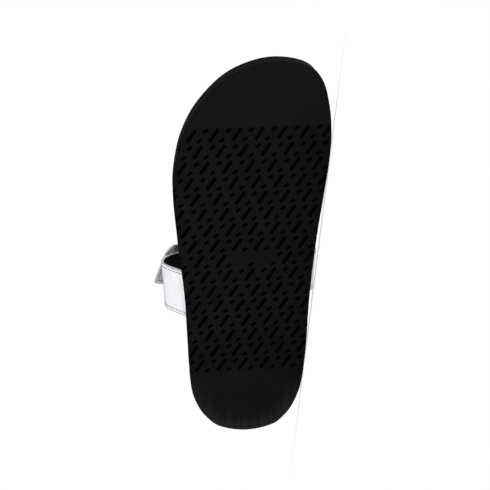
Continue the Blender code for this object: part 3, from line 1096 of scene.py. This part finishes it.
@dataclass(frozen=True)
class Outsole:
    """Rubber sole with its slotted tread, in mm."""

    sole: SoleForm
    thickness: float = 6.5
    lower_round: float = 1.5
    upper_round: float = 0.4
    round_steps: int = 4
    toe_cuts: int = 24
    heel_cuts: int = 8
    wall_steepness: float = 0.6
    slot_size: Triple = (10.0, 2.45, 2.0)
    slot_turn: float = 35.0
    dash_size: Triple = (3.6, 1.95, 1.8)
    dash_turn: float = 55.0
    dash_shifts: tuple[Place, ...] = ((2.63, -5.26), (-3.46, 5.2))
    overshoot: float = 2.0
    pitch: float = 14.8
    rows: int = 16
    columns: int = 20
    row_pitch: float = 10.76
    row_shift: float = 4.2
    row_tilt: float = 1.0
    first_slot: Place = (214.4, -7.3)
    edge_reach: float = 6.0
    plaque: Place = (131.3, -2.5)
    plaque_size: Place = (5.4, 25.0)

    def build(self, bench: Bench) -> None:
        """Makes the sole, cuts its tread and hands it in."""
        layers = [bench.finishes.tread, bench.finishes.slot, bench.finishes.foam]
        body = bench.place("outsole_dressed", self.slab(), layers)
        cutter = bench.place("tread_cutter", self.cutter(), layers)
        cut = body.modifiers.new("tread", "BOOLEAN")
        cut.operation = "DIFFERENCE"
        cut.solver = "EXACT"
        cut.object = cutter
        bench.settle(body)
        bpy.data.objects.remove(cutter)
        bench.hand_in(body, "outsole_rubber", "outsole")

    def slab(self) -> Mesh:
        """The sole before its tread is cut: outline extruded, edges rounded, toe and heel lifted."""
        bm = bmesh.new()
        ring = add_ring(bm, [point.to_3d() for point in self.sole.outline], capped=True)
        lower = ring_edges(bm, ring)
        grown = bmesh.ops.extrude_face_region(bm, geom=list(bm.faces), use_keep_orig=True)["geom"]
        upper = [item for item in grown if isinstance(item, bmesh.types.BMEdge)]
        top = [item for item in grown if isinstance(item, bmesh.types.BMVert)]
        bmesh.ops.translate(bm, verts=top, vec=(0.0, 0.0, self.thickness))
        for edges, offset in ((lower, self.lower_round), (upper, self.upper_round)):
            bmesh.ops.bevel(
                bm,
                geom=edges,
                offset=offset,
                segments=self.round_steps,
                profile=0.5,
                affect="EDGES",
                material=-1,
            )
        bmesh.ops.recalc_face_normals(bm, faces=bm.faces)
        toe = evenly(self.sole.toe_spring_start, self.sole.length, self.toe_cuts)[:-1]
        heel = evenly(0.0, self.sole.heel_lift_end, self.heel_cuts)[1:]
        for station in toe + heel:
            geom = [*bm.verts, *bm.edges, *bm.faces]
            bmesh.ops.bisect_plane(bm, geom=geom, plane_co=(station, 0.0, 0.0), plane_no=(1.0, 0.0, 0.0))
        for face in bm.faces:
            steep = abs(face.normal.z) < self.wall_steepness
            face.material_index = (SoleFace.WALL if steep else SoleFace.TREAD).value
        for vert in bm.verts:
            vert.co.z += self.sole.spring(vert.co.x)
        return bm

    def cells(self) -> Iterable[Place]:
        """Centres of the tread's cells: slightly tilted rows, each shifted against the last."""
        tilt = math.radians(self.row_tilt)
        for row in range(self.rows):
            for column in range(-self.columns // 2, self.columns // 2):
                along = self.first_slot[0] - row * self.row_pitch + column * self.pitch * math.sin(tilt)
                across = self.first_slot[1] + row * self.row_shift + column * self.pitch * math.cos(tilt)
                yield along, across

    def fits(self, along: float, across: float, length: float, turn: float) -> bool:
        """Whether a cut reaches the sole and stays off the bare plaque."""
        lateral = self.sole.edge(along, Side.LATERAL) - self.edge_reach
        medial = self.sole.edge(along, Side.MEDIAL) + self.edge_reach
        half = Vector((length / 2, 0.0))
        half.rotate(Matrix.Rotation(math.radians(turn), 2))
        near_along = abs(along - self.plaque[0]) < self.plaque_size[0] / 2 + abs(half.x)
        near_across = abs(across - self.plaque[1]) < self.plaque_size[1] / 2 + abs(half.y)
        return lateral < across < medial and not (near_along and near_across)

    def cutter(self) -> Mesh:
        """Blocks that cut the slots and the short dashes between them."""
        bm = bmesh.new()
        for along, across in self.cells():
            cuts = [(along, across, self.slot_size, self.slot_turn)]
            cuts += [(along + dx, across + dy, self.dash_size, self.dash_turn) for dx, dy in self.dash_shifts]
            for x, y, (length, width, depth), turn in cuts:
                if self.fits(x, y, length, turn):
                    height = depth + self.overshoot
                    centre = Vector((x, y, self.sole.spring(x) + depth - height / 2))
                    spin = Matrix.Rotation(math.radians(turn), 4, "Z")
                    block = Matrix.Diagonal((length, width, height, 1.0))
                    bmesh.ops.create_cube(bm, size=1.0, matrix=Matrix.Translation(centre) @ spin @ block)
        # The cut faces take the slot finish, whose darker colour is painted shade inside the slots.
        for face in bm.faces:
            face.material_index = SoleFace.SLOT.value
        return bm


@dataclass(frozen=True)
class Footbed:
    """Moulded midsole and the cover in its bowl, in mm."""

    sole: SoleForm
    floor: float = 6.8
    inset: float = 0.6
    rim_round: float = 1.0
    bowl_inset: float = 4.6
    fit_gap: float = 0.3
    cover: float = 2.0
    cover_round: float = 0.8
    round_steps: int = 4
    wall_steps: int = 4
    bowl_shares: Row = (0.0, 0.04, 0.1, 0.17, 0.25, 0.35, 0.5, 0.66, 0.83, 1.0)

    def build(self, bench: Bench) -> None:
        """Makes midsole and insole and hands them in."""
        for name, bm, finish, slot in (
            ("midsole", self.midsole(), bench.finishes.foam, "footbed_foam"),
            ("insole", self.insole(), bench.finishes.suede, "insole_cover"),
        ):
            piece = bench.place(name + "_dressed", bm, [finish])
            bench.settle(piece)
            bench.hand_in(piece, slot, name)

    def rounding(self, radius: float) -> list[Place]:
        """Drops and insets of the rings round an edge, from its side to its top."""
        angles = evenly(0.0, math.pi / 2, self.round_steps)
        return [(radius * (1 - math.sin(angle)), radius * (1 - math.cos(angle))) for angle in angles]

    def wall_height(self, share: float, along: float, side: Side) -> float:
        """Height part of the way up the side wall."""
        low = self.sole.spring(along) + self.floor
        return low + (self.sole.rim(along, side) - self.rim_round - low) * share

    def midsole(self) -> Mesh:
        """Side wall, rounded rim and bowl."""
        sole = self.sole
        shares = evenly(0.0, 1.0, self.wall_steps)
        rings = [sole.ring(self.inset, partial(self.wall_height, share)) for share in shares]
        for drop, inset in self.rounding(self.rim_round)[1:]:
            rings.append(sole.ring(self.inset + inset, lambda x, side, drop=drop: sole.rim(x, side) - drop))
        return ring_loft(rings + sole.bowl(0.0, self.bowl_inset, self.bowl_shares), capped=True)

    def insole(self) -> Mesh:
        """Thin cover with a rounded upper edge."""
        top = self.fit_gap + self.cover
        rings = self.sole.bowl(self.fit_gap, self.bowl_inset, self.bowl_shares)[::-1]
        for drop, inset in self.rounding(self.cover_round):
            rings += self.sole.bowl(top - drop, self.bowl_inset + inset, (0.0,))
        return ring_loft(rings + self.sole.bowl(top, self.bowl_inset, self.bowl_shares)[2:], capped=False)


@dataclass(frozen=True)
class Stitch:
    """A row's stitches: one short, slightly sunk loop of thread, repeated along a line, in mm."""

    step: float = 2.5
    length: float = 1.9
    width: float = 0.55
    height: float = 0.42
    sink: float = 0.04
    around: int = 6
    rings: int = 4

    def row(self, bm: Mesh, line: Sequence[tuple[Vector, Vector]]) -> None:
        """Sews stitches along a line.

        Args:
            bm: Mesh that the stitches are added to.
            line: Points of the line with the leather's outward normals there.
        """
        points = [point for point, _ in line]
        length = sum((b - a).length for a, b in zip(points, points[1:]))
        count = max(round(length / self.step), 1)
        places = evenly_along(points, 2 * count)
        size = Matrix.Diagonal((self.length / 2, self.width / 2, self.height / 2, 1.0))
        for i in range(count):
            start, middle, end = places[2 * i: 2 * i + 3]
            normal = min(line, key=lambda item: (item[0] - middle).length_squared)[1]
            along = (end - start).normalized()
            across = normal.cross(along).normalized()
            axes = Matrix((along, across, along.cross(across))).transposed().to_4x4()
            loop = Matrix.Translation(middle - normal * self.sink) @ axes @ size
            bmesh.ops.create_uvsphere(
                bm, u_segments=self.around, v_segments=self.rings, radius=1.0, matrix=loop
            )


@dataclass(frozen=True)
class Leather:
    """What both sewn pieces share: a smooth sheet that gets a wall, creases and stitches, in mm.

    The wall grows inwards only where its growth is -1, and both ways where it is 0.
    """

    arch: ArchForm
    stitch: Stitch
    wall: float = 2.0
    growth: float = 0.0
    edge_round: float = 0.1
    edge_segments: int = 2
    edge_angle: float = 60.0
    seam_inset: float = 2.3
    probe: float = 0.5

    def sheet(self) -> Mesh:
        """The smooth sheet, with its distances from edge and base and its crease depths as layers."""
        raise NotImplementedError

    def thicken(self, obj: bpy.types.Object) -> None:
        """Gives the sheet its wall, with inner face and cut edge as second and third finish."""
        solid = obj.modifiers.new("wall", "SOLIDIFY")
        solid.thickness = self.wall * MM
        solid.offset = self.growth
        solid.use_even_offset = True
        solid.material_offset = 1
        solid.material_offset_rim = 2
        solid.shell_vertex_group = obj.vertex_groups.new(name=INNER_FACE).name
        softened = obj.modifiers.new("edge", "BEVEL")
        softened.width = self.edge_round * MM
        softened.segments = self.edge_segments
        softened.use_clamp_overlap = False
        softened.limit_method = "ANGLE"
        softened.angle_limit = math.radians(self.edge_angle)

    @staticmethod
    def press_creases(mesh: bpy.types.Mesh) -> None:
        """Moves the outer face in by its creases, and leaves the inner face smooth."""
        sinks, through = (mesh.attributes[name].data for name in (SINK_MM, THROUGH))
        depths = [sink.value * MM * (1 - depth.value) for sink, depth in zip(sinks, through)]
        moves = [vert.normal * depth for vert, depth in zip(mesh.vertices, depths)]
        for vert, move in zip(mesh.vertices, moves):
            vert.co -= move

    def make(self, bench: Bench, node: str, slot: str, finishes: Iterable[Finish]) -> None:
        """Makes the piece and hands it in.

        Args:
            bench: Where the piece is put together.
            node: The solid that it stands for.
            slot: The record's material slot of the piece, passed on to hand_in.
            finishes: Those of the outer face, the inner face and the cut edge.
        """
        body = bench.place(node + "_dressed", self.sheet(), finishes)
        self.thicken(body)
        bench.settle(body)
        self.press_creases(body.data)
        bench.hand_in(body, slot, node)

    def sew(self, bench: Bench, name: str, slot: str, stitches: Mesh) -> None:
        """Makes the stitching and hands it in."""
        sewn = bench.place(name, stitches, [bench.finishes.thread])
        sewn.data.shade_smooth()
        bench.hand_in(sewn, slot)


@dataclass(frozen=True)
class Upper(Leather):
    """Medial panel that splits into a rear and a front strap, in mm."""

    wall: float = 2.2
    growth: float = -1.0
    edge_round: float = 0.15
    probe_share: float = 0.002
    columns: int = 34
    rows: int = 240
    split_share: float = 0.80
    split_round: float = 0.05
    split_end: float = 18.0
    seam_ends: Band = (0.012, 0.988)
    line_steps: int = 120
    bend_steps: int = 30
    shares: Row = (0.0, 0.5, 0.8, 1.0)
    rear_start: Row = (75, 80, 81, 80)
    rear_end: Row = (109, 113, 115, 117)
    front_start: Row = (125, 129, 127, 125)
    front_end: Row = (158, 166, 168, 166)
    anchor_row: tuple[Place, ...] = ((86.0, 0.945), (100.0, 0.951), (114.0, 0.949))
    creases: tuple[Crease, ...] = (
        Crease((79, 4.0), (98, 6.2), 1.1, 0.5, 0.8),
        Crease((96, 3.2), (108, 5.0), 0.8, 0.55, -0.6),
        Crease((104, 2.4), (108.5, 8.0), 0.7, 0.48, 0.5),
        Crease((99, 3.0), (103.5, 8.6), 0.7, 0.4, -0.5),
        Crease((87, 9.5), (104, 12.0), 1.3, 0.45, 1.2),
        Crease((82, 7.2), (91, 8.2), 0.8, -0.28, -0.5),
        Crease((100, 8.0), (107, 10.5), 0.9, -0.25, 0.6),
        Crease((127, 6.0), (146, 8.0), 1.2, 0.45, -0.9),
        Crease((138, 11.0), (156, 12.5), 1.4, 0.36, 1.1),
        Crease((130, 42.0), (161, 47.0), 2.2, 0.4, -1.8),
        Crease((136, 54.0), (156, 55.0), 2.0, -0.24, 1.2),
        Crease((138, 82.0), (145, 138.0), 2.4, 0.36, 2.4),
        Crease((151, 68.0), (157, 120.0), 2.2, -0.28, -2.0),
        Crease((148, 148.0), (154, 180.0), 1.9, 0.36, -1.4),
        Crease((129, 182.0), (166, 188.0), 2.3, 0.46, 2.2),
        Crease((134, 195.0), (160, 198.0), 1.8, -0.3, -1.4),
        Crease((83, 205.0), (120, 211.0), 2.4, 0.55, -2.0),
        Crease((111, 217.0), (142, 210.0), 2.2, 0.46, 1.8),
        Crease((129, 223.0), (159, 220.0), 1.6, 0.4, -1.2),
    )
    puckers: int = 9
    pucker: Crease = Crease((86.4, 218.5), (87.2, 226.0), 0.8, 0.28)
    pucker_step: float = 3.4

    def build(self, bench: Bench, covered: Callable[[float, float], bool]) -> None:
        """Makes the upper and its stitching and hands them in.

        Args:
            bench: Where the piece is put together.
            covered: Tells whether another strap hides a station and share.
        """
        finishes = bench.finishes
        self.make(bench, "upper", "upper_leather", [finishes.silver, finishes.lining, finishes.cut_edge])
        self.sew(bench, "upper_stitching", "upper_leather", self.stitching(covered))

    @cached_property
    def edge_profiles(self) -> list[Profile]:
        """Stations of the four strap edges against the share."""
        columns = (self.rear_start, self.rear_end, self.front_start, self.front_end)
        return [Profile(self.shares, column) for column in columns]

    def edges(self, share: float) -> tuple[float, float, float, float]:
        """Stations of the four strap edges, with the cut-out between them closed by a round end."""
        rear_start, rear_end, front_start, front_end = (profile(share) for profile in self.edge_profiles)
        t = max(0.0, (share - (self.split_share - self.split_round)) / self.split_round)
        middle = (rear_end + front_start) / 2
        half = (front_start - rear_end) / 2 * math.sqrt(max(0.0, 1 - t**2))
        return rear_start, middle - half, middle + half, front_end

    def edge_distance(self, along: float, share: float) -> float:
        """Distance of a place on the upper from the nearest strap edge."""
        rear_start, rear_end, front_start, front_end = self.edges(share)
        middle = (rear_end + front_start) / 2
        outer = min(along - rear_start, front_end - along)
        past = max(0.0, share - self.split_share) * self.arch.girth
        gap = math.hypot(along - middle, past) if past else max(rear_end - along, along - front_start)
        return max(0.0, min(outer, gap))

    @cached_property
    def all_creases(self) -> list[Crease]:
        """The creases, and the small puckers along the row of stitches that anchors the rear strap."""
        puckers = [self.pucker.moved(self.pucker_step * i) for i in range(self.puckers)]
        return [*self.creases, *puckers]

    def sink(self, along: float, share: float) -> float:
        """How deep the creases press the outer face in at a place."""
        flat = (along, share * self.arch.girth)
        return sum(crease.sink(flat) for crease in self.all_creases)

    def point(self, along: float, share: float) -> Vector:
        """Point on the creased outer face."""
        return self.arch.point(along, share) - self.normal(along, share) * self.sink(along, share)

    def normal(self, along: float, share: float) -> Vector:
        """Outward normal of the uncreased face."""
        inner, outer = max(share - self.probe_share, 0.0), min(share + self.probe_share, 1.0)
        along_run = self.arch.point(along + self.probe, share) - self.arch.point(along - self.probe, share)
        share_run = self.arch.point(along, outer) - self.arch.point(along, inner)
        return along_run.cross(share_run).normalized()

    @cached_property
    def row_shares(self) -> list[float]:
        """Shares of the sheet's rows: even ones, and one more for the round end of the cut-out."""
        tip = self.split_share - self.split_round * (1 - math.cos(math.radians(self.split_end)))
        return sorted([*evenly(0.0, 1.0, self.rows), tip])

    def sheet(self) -> Mesh:
        """Outer face of both straps, joined where they meet in the panel."""
        bm = bmesh.new()
        edge_layer, base_layer, sink_layer = (bm.verts.layers.float.new(name) for name in LEATHER_LAYERS)
        steps = len(self.row_shares) - 1
        for strap in Strap:
            grid = bmesh.ops.create_grid(bm, x_segments=self.columns, y_segments=steps, size=0.5)["verts"]
            for vert in grid:
                across, share = vert.co.x + 0.5, self.row_shares[round((vert.co.y + 0.5) * steps)]
                start, end = self.edges(share)[strap.value: strap.value + 2]
                along = start + (end - start) * across
                vert.co = self.arch.point(along, share)
                vert[edge_layer] = self.edge_distance(along, share)
                vert[base_layer] = min(share, 1 - share) * self.arch.girth
                vert[sink_layer] = self.sink(along, share)
        bmesh.ops.remove_doubles(bm, verts=bm.verts, dist=WELD_MM)
        return bm

    def seams(self) -> Iterable[list[Place]]:
        """Lines of stitching, as stations and shares: outer edges, round the cut-out, anchoring row."""
        first, last = self.seam_ends
        turn = self.split_share - self.split_round
        rear_outer, rear, front, front_outer = (
            [
                (self.edges(share)[edge] + sign * self.seam_inset, share)
                for share in evenly(first, end, self.line_steps)
            ]
            for edge, sign, end in ((0, 1, last), (1, -1, turn), (2, 1, turn), (3, -1, last))
        )
        yield rear_outer
        yield front_outer
        _, rear_end, front_start, _ = self.edges(turn)
        middle, half = (rear_end + front_start) / 2, (front_start - rear_end) / 2 + self.seam_inset
        deep = self.split_round + self.seam_inset / self.arch.girth
        angles = evenly(0.0, math.pi, self.bend_steps)[1:-1]
        bend = [(middle - half * math.cos(angle), turn + deep * math.sin(angle)) for angle in angles]
        yield rear + bend + front[::-1]
        yield list(self.anchor_row)

    def stitching(self, covered: Callable[[float, float], bool]) -> Mesh:
        """Stitches along the seams, where no other strap hides them."""
        bm = bmesh.new()
        for seam in self.seams():
            for hidden, places in groupby(seam, key=lambda place: covered(*place)):
                run = [] if hidden else [(self.point(*place), self.normal(*place)) for place in places]
                if len(run) > 1:
                    self.stitch.row(bm, run)
        return bm


@dataclass(frozen=True)
class ClosingStrap(Leather):
    """Strap over the rear strap: free tail on the lateral side, folded under on the medial side, in mm.

    It is laid out in rows along its path, about a millimetre apart, counted from the end of the tail.
    Its creases are placed by station and row.
    """

    wall: float = 1.8
    fit_gap: float = 0.3
    tail_share: float = 0.185
    taper_share: float = 0.30
    tail_skew: float = 0.065
    tail_rear_flare: float = 5.9
    tail_steps: int = 12
    corner_round: float = 2.1
    fold_share: float = 0.80
    fold_radius: float = 1.6
    underlap_share: float = 0.70
    ease_share: float = 0.07
    layer_steps: int = 150
    fold_steps: int = 10
    underlap_steps: int = 24
    columns: int = 33
    free_rows: int = 16
    overhang_rows: int = 104
    cover_margin: float = 0.6
    cover_share: float = 0.02
    shares: Row = (0.185, 0.30, 0.50, 0.80)
    start: Row = (91, 84, 84, 82)
    end: Row = (112.5, 117, 117, 114)
    creases: tuple[Crease, ...] = (
        Crease((85, 24.0), (116, 30.0), 2.2, -0.34, 1.6),
        Crease((88, 35.0), (104, 36.5), 2.0, 0.22, -1.0),
        Crease((90, 56.0), (97, 98.0), 2.2, -0.36, 1.8),
        Crease((106, 48.0), (110, 88.0), 2.0, -0.3, -1.6),
        Crease((84, 115.0), (104, 119.0), 1.8, 0.32, -1.2),
        Crease((96, 124.0), (114, 122.5), 1.7, -0.32, 1.2),
        Crease((83, 131.0), (112, 134.0), 1.6, 0.46, 1.4),
        Crease((90, 141.0), (113, 139.0), 1.5, 0.48, -1.0),
    )

    def build(self, bench: Bench) -> None:
        """Makes the strap and its stitching and hands them in."""
        finishes = bench.finishes
        layers = [finishes.strap, finishes.underside, finishes.strap_edge]
        self.make(bench, "closing_strap", "strap_leather", layers)
        self.sew(bench, "strap_stitching", "strap_leather", self.stitching())

    @cached_property
    def edge_profiles(self) -> tuple[Profile, Profile]:
        """Stations of both edges against the share."""
        return Profile(self.shares, self.start), Profile(self.shares, self.end)

    @cached_property
    def path(self) -> list[Triple]:
        """Shares, offsets and reaches of the strap's middle layer: tail, top, fold and underlap."""
        under = self.fit_gap + self.wall / 2
        over = under + self.wall + self.fit_gap
        fold = under + 2 * self.fold_radius
        path = []
        for share in evenly(self.tail_share, self.fold_share, self.layer_steps):
            climb = ease((share - (self.underlap_share - self.ease_share)) / self.ease_share)
            reach = ease((share - self.underlap_share) / (self.fold_share - self.underlap_share))
            path.append((share, under + (over - under) * climb + (fold - over) * reach, 0.0))
        for turn in evenly(0.0, math.pi, self.fold_steps)[1:-1]:
            offset = under + self.fold_radius * (1 + math.cos(turn))
            path.append((self.fold_share, offset, self.fold_radius * math.sin(turn)))
        underlap = evenly(self.fold_share, self.underlap_share, self.underlap_steps)
        return path + [(share, under, 0.0) for share in underlap]

    @cached_property
    def row_step(self) -> float:
        """Distance between the rows of the strap's long layer."""
        return (self.fold_share - self.tail_share) * self.arch.girth / self.layer_steps

    def looseness(self, share: float) -> float:
        """How free the strap lies: 0 over the top, 1 at the end of its tail."""
        return max(0.0, (self.taper_share - share) / (self.taper_share - self.tail_share))

    def covers(self, along: float, share: float) -> bool:
        """Whether the strap hides a place on the upper."""
        start, end = (profile(share) for profile in self.edge_profiles)
        low = self.tail_share + self.tail_skew * (along - start) / (end - start)
        beside = start - self.cover_margin < along < end + self.cover_margin
        return beside and low < share < self.fold_share + self.cover_share

    def course(self, row: float) -> list[float]:
        """Share, offset and reach at a row of the path, or between two rows."""
        low = min(int(row), len(self.path) - 2)
        return [a + (b - a) * (row - low) for a, b in zip(self.path[low], self.path[low + 1])]

    def edges(self, row: float) -> tuple[float, float]:
        """Stations of both edges in a row of the path."""
        start, end = (profile(self.course(row)[0]) for profile in self.edge_profiles)
        return start, end

    def corner(self, side: float, tail: float) -> Place:
        """Moves a place near one of the tail's square corners so that the corner turns round.

        Args:
            side: Distance from the nearer side edge.
            tail: Distance from the tail's end.

        Returns:
            Both distances after the move.
        """
        a, b = (max(0.0, 1 - distance / self.corner_round) for distance in (side, tail))
        if a * b == 0.0:
            return side, tail
        return (
            self.corner_round * (1 - a * math.sqrt(1 - b * b / 2)),
            self.corner_round * (1 - b * math.sqrt(1 - a * a / 2)),
        )

    def point(self, row: float, along: float) -> Vector:
        """Point on the strap's smooth middle layer."""
        share, offset, reach = self.course(row)
        start, end = self.edges(row)
        across = (along - start) / (end - start)
        loose = self.looseness(share)
        flare = self.tail_rear_flare * loose**2 * (1 - across)
        base, normal, forward = self.arch.section(along, share + self.tail_skew * loose * across)
        return base + normal * (offset + flare) + forward * reach

    def sink(self, row: int, along: float) -> float:
        """How deep the creases press the outer face in at a place."""
        return sum(crease.sink((along, row)) for crease in self.creases)

    def face(self, row: int, along: float, sign: float) -> tuple[Vector, Vector]:
        """Point and normal on one of the strap's faces.

        Args:
            row: Row of the path.
            along: Station from the heel.
            sign: 1 for the outer face, -1 for the inner one.

        Returns:
            The point and the normal that leaves the strap there.
        """
        before, after = max(row - 1, 0), min(row + 1, len(self.path) - 1)
        along_run = self.point(row, along + self.probe) - self.point(row, along - self.probe)
        row_run = self.point(after, along) - self.point(before, along)
        normal = along_run.cross(row_run).normalized() * sign
        sink = self.sink(row, along) if sign > 0 else 0.0
        return self.point(row, along) + normal * (self.wall / 2 - sink), normal

    def sheet(self) -> Mesh:
        """The strap's middle layer, whose base is the end of the tail."""
        bm = bmesh.new()
        edge_layer, base_layer, sink_layer = (bm.verts.layers.float.new(name) for name in LEATHER_LAYERS)
        rows = len(self.path) - 1
        grid = bmesh.ops.create_grid(bm, x_segments=self.columns, y_segments=rows, size=0.5)["verts"]
        for vert in grid:
            across, row = vert.co.x + 0.5, round((vert.co.y + 0.5) * rows)
            start, end = self.edges(row)
            side, tail = (end - start) * min(across, 1 - across), row * self.row_step
            inset, place = self.corner(side, tail)
            along = start + inset if across < 0.5 else end - inset
            vert.co = self.point(place / self.row_step, along)
            vert[edge_layer] = max(0.0, min(side, tail))
            vert[base_layer] = tail
            vert[sink_layer] = self.sink(row, along)
        return bm

    def stitching(self) -> Mesh:
        """Stitches along both edges and across the tail, on both faces where the inner one shows."""
        bm = bmesh.new()
        tail = math.ceil(self.seam_inset / self.row_step)
        last = self.layer_steps + self.fold_steps - 1
        rear, front = (
            [(row, self.edges(row)[side] + sign * self.seam_inset) for row in range(tail, last)]
            for side, sign in ((0, 1.0), (1, -1.0))
        )
        across = [(tail, along) for along in evenly(rear[0][1], front[0][1], self.tail_steps)]
        outer = rear[::-1] + across[1:-1] + front
        inner = rear[self.free_rows::-1] + across[1:-1] + front[: self.overhang_rows]
        for line, sign in ((outer, 1.0), (inner, -1.0)):
            self.stitch.row(bm, [self.face(row, along, sign) for row, along in line])
        return bm


# Studio


@dataclass(frozen=True)
class Studio:
    """Pale floor, soft light and a camera at the photograph's angle; camera in mm, the rest in metres."""

    pose: Pose
    aim: Triple = (131.0, 0.0, 20.0)
    distance: float = 950.0
    toe_angle: float = 20.0
    side_angle: float = 5.7
    mm_per_pixel: float = 0.68
    pixels: int = 490
    sensor: float = 36.0
    white: Colour = (1.0, 1.0, 1.0)
    floor_reach: float = 5.0
    floor_colour: Colour = (0.9, 0.9, 0.9)
    floor_glow: float = 0.36
    key_place: Triple = (-0.72, -0.52, 1.36)
    key_size: float = 1.0
    key_power: float = 0.4
    sky: float = 0.97
    dark_side: float = 0.14
    lit_band: Band = (-0.9, -0.25)
    low_band: Band = (0.1, 0.75)
    low_weight: float = 0.5
    screens: Grain = Grain(2.1, 1.0, band=(0.38, 0.6), weight=0.5)
    screen_band: Band = (0.2, 0.55)
    unevenness: float = 0.75

    def build(self) -> None:
        """Sets floor, light, world and camera."""
        self.floor()
        self.key_light()
        self.world()
        self.camera()
        bpy.context.scene.view_settings.view_transform = "Standard"

    def floor(self) -> None:
        """The plain floor."""
        bm = bmesh.new()
        bmesh.ops.create_grid(bm, x_segments=1, y_segments=1, size=self.floor_reach)
        paper, nodes = start_material("paper")
        sockets = {"Base Color": self.floor_colour, "Roughness": 1.0, "Specular IOR Level": 0.0}
        nodes.surface({**sockets, "Emission Color": self.white, "Emission Strength": self.floor_glow})
        floor = add_mesh("floor", bm, [paper])
        floor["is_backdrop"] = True

    def key_light(self) -> None:
        """A large soft light overhead."""
        light = bpy.data.lights.new("key", "AREA")
        light.shape = "SQUARE"
        light.size = self.key_size
        light.energy = self.key_power
        lamp = add_object("key", light)
        lamp.location = self.key_place
        lamp.rotation_euler = Vector(self.key_place).to_track_quat("Z", "Y").to_euler()

    def world(self) -> None:
        """White all round to the camera, and dimmer on the tread's side to what the leather mirrors."""
        world = bpy.data.worlds.new("studio")
        bpy.context.scene.world = world
        world.use_nodes = True
        nodes = Nodes(world.node_tree)
        here = nodes.add("TexCoord").output("Generated")
        axes = nodes.add("SeparateXYZ", {"Vector": here})
        back = axes.output("Y")
        low = axes.output("Z").below(*self.low_band) * self.low_weight
        uneven = (low + nodes.patches(here, self.screens)) * back.above(*self.screen_band)
        lit = back.above(*self.lit_band) * (1 - uneven * self.unevenness)
        seen = nodes.add("LightPath").output("Is Camera Ray")
        strength = seen + (1 - seen) * lit.span(self.dark_side, self.sky)
        glow = nodes.add("Background", {"Color": self.white, "Strength": strength})
        nodes.add("OutputWorld", {"Surface": glow})

    def camera(self) -> None:
        """The camera, rolled so that the toe is up, just over the floor that the sandal lies on."""
        toe, side = math.radians(self.toe_angle), math.radians(self.side_angle)
        back = Vector((math.sin(toe), -math.sin(side) * math.cos(toe), -math.cos(toe) * math.cos(side)))
        up = Vector((1.0, 0.0, 0.0))
        up = (up - back * up.dot(back)).normalized()
        axes = Matrix((up.cross(back), up, back)).transposed()
        lens = bpy.data.cameras.new("camera")
        lens.sensor_width = self.sensor
        lens.lens = self.sensor * self.distance / (self.pixels * self.mm_per_pixel)
        camera = add_object("camera", lens)
        place = self.pose.matrix @ ((Vector(self.aim) + back * self.distance) * MM)
        camera.matrix_world = Matrix.Translation(place) @ (self.pose.turn @ axes).to_4x4()
        bpy.context.scene.camera = camera


def note_sizes() -> None:
    """Takes the solids' box and the dressed model's box; the result is not kept."""
    boxes = {"cad": CAD_BOX, "visual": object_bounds()}
    {name: [list(corner) for corner in box] for name, box in boxes.items()}


def main() -> None:
    """Builds the sandal from the ground up, then the studio around it."""
    logging.basicConfig(level=logging.INFO, format="%(message)s")
    sole = SoleForm()
    arch = ArchForm(sole)
    outsole = Outsole(sole)
    pose = Pose.from_record(frame["record"], outsole.plaque)
    bench = Bench(pose, Finishes.for_pose(pose))
    strap = ClosingStrap(arch, Stitch())
    outsole.build(bench)
    Footbed(sole).build(bench)
    Upper(arch, Stitch()).build(bench, strap.covers)
    strap.build(bench)
    Studio(pose).build()
    note_sizes()


if __name__ == "__main__":
    main()
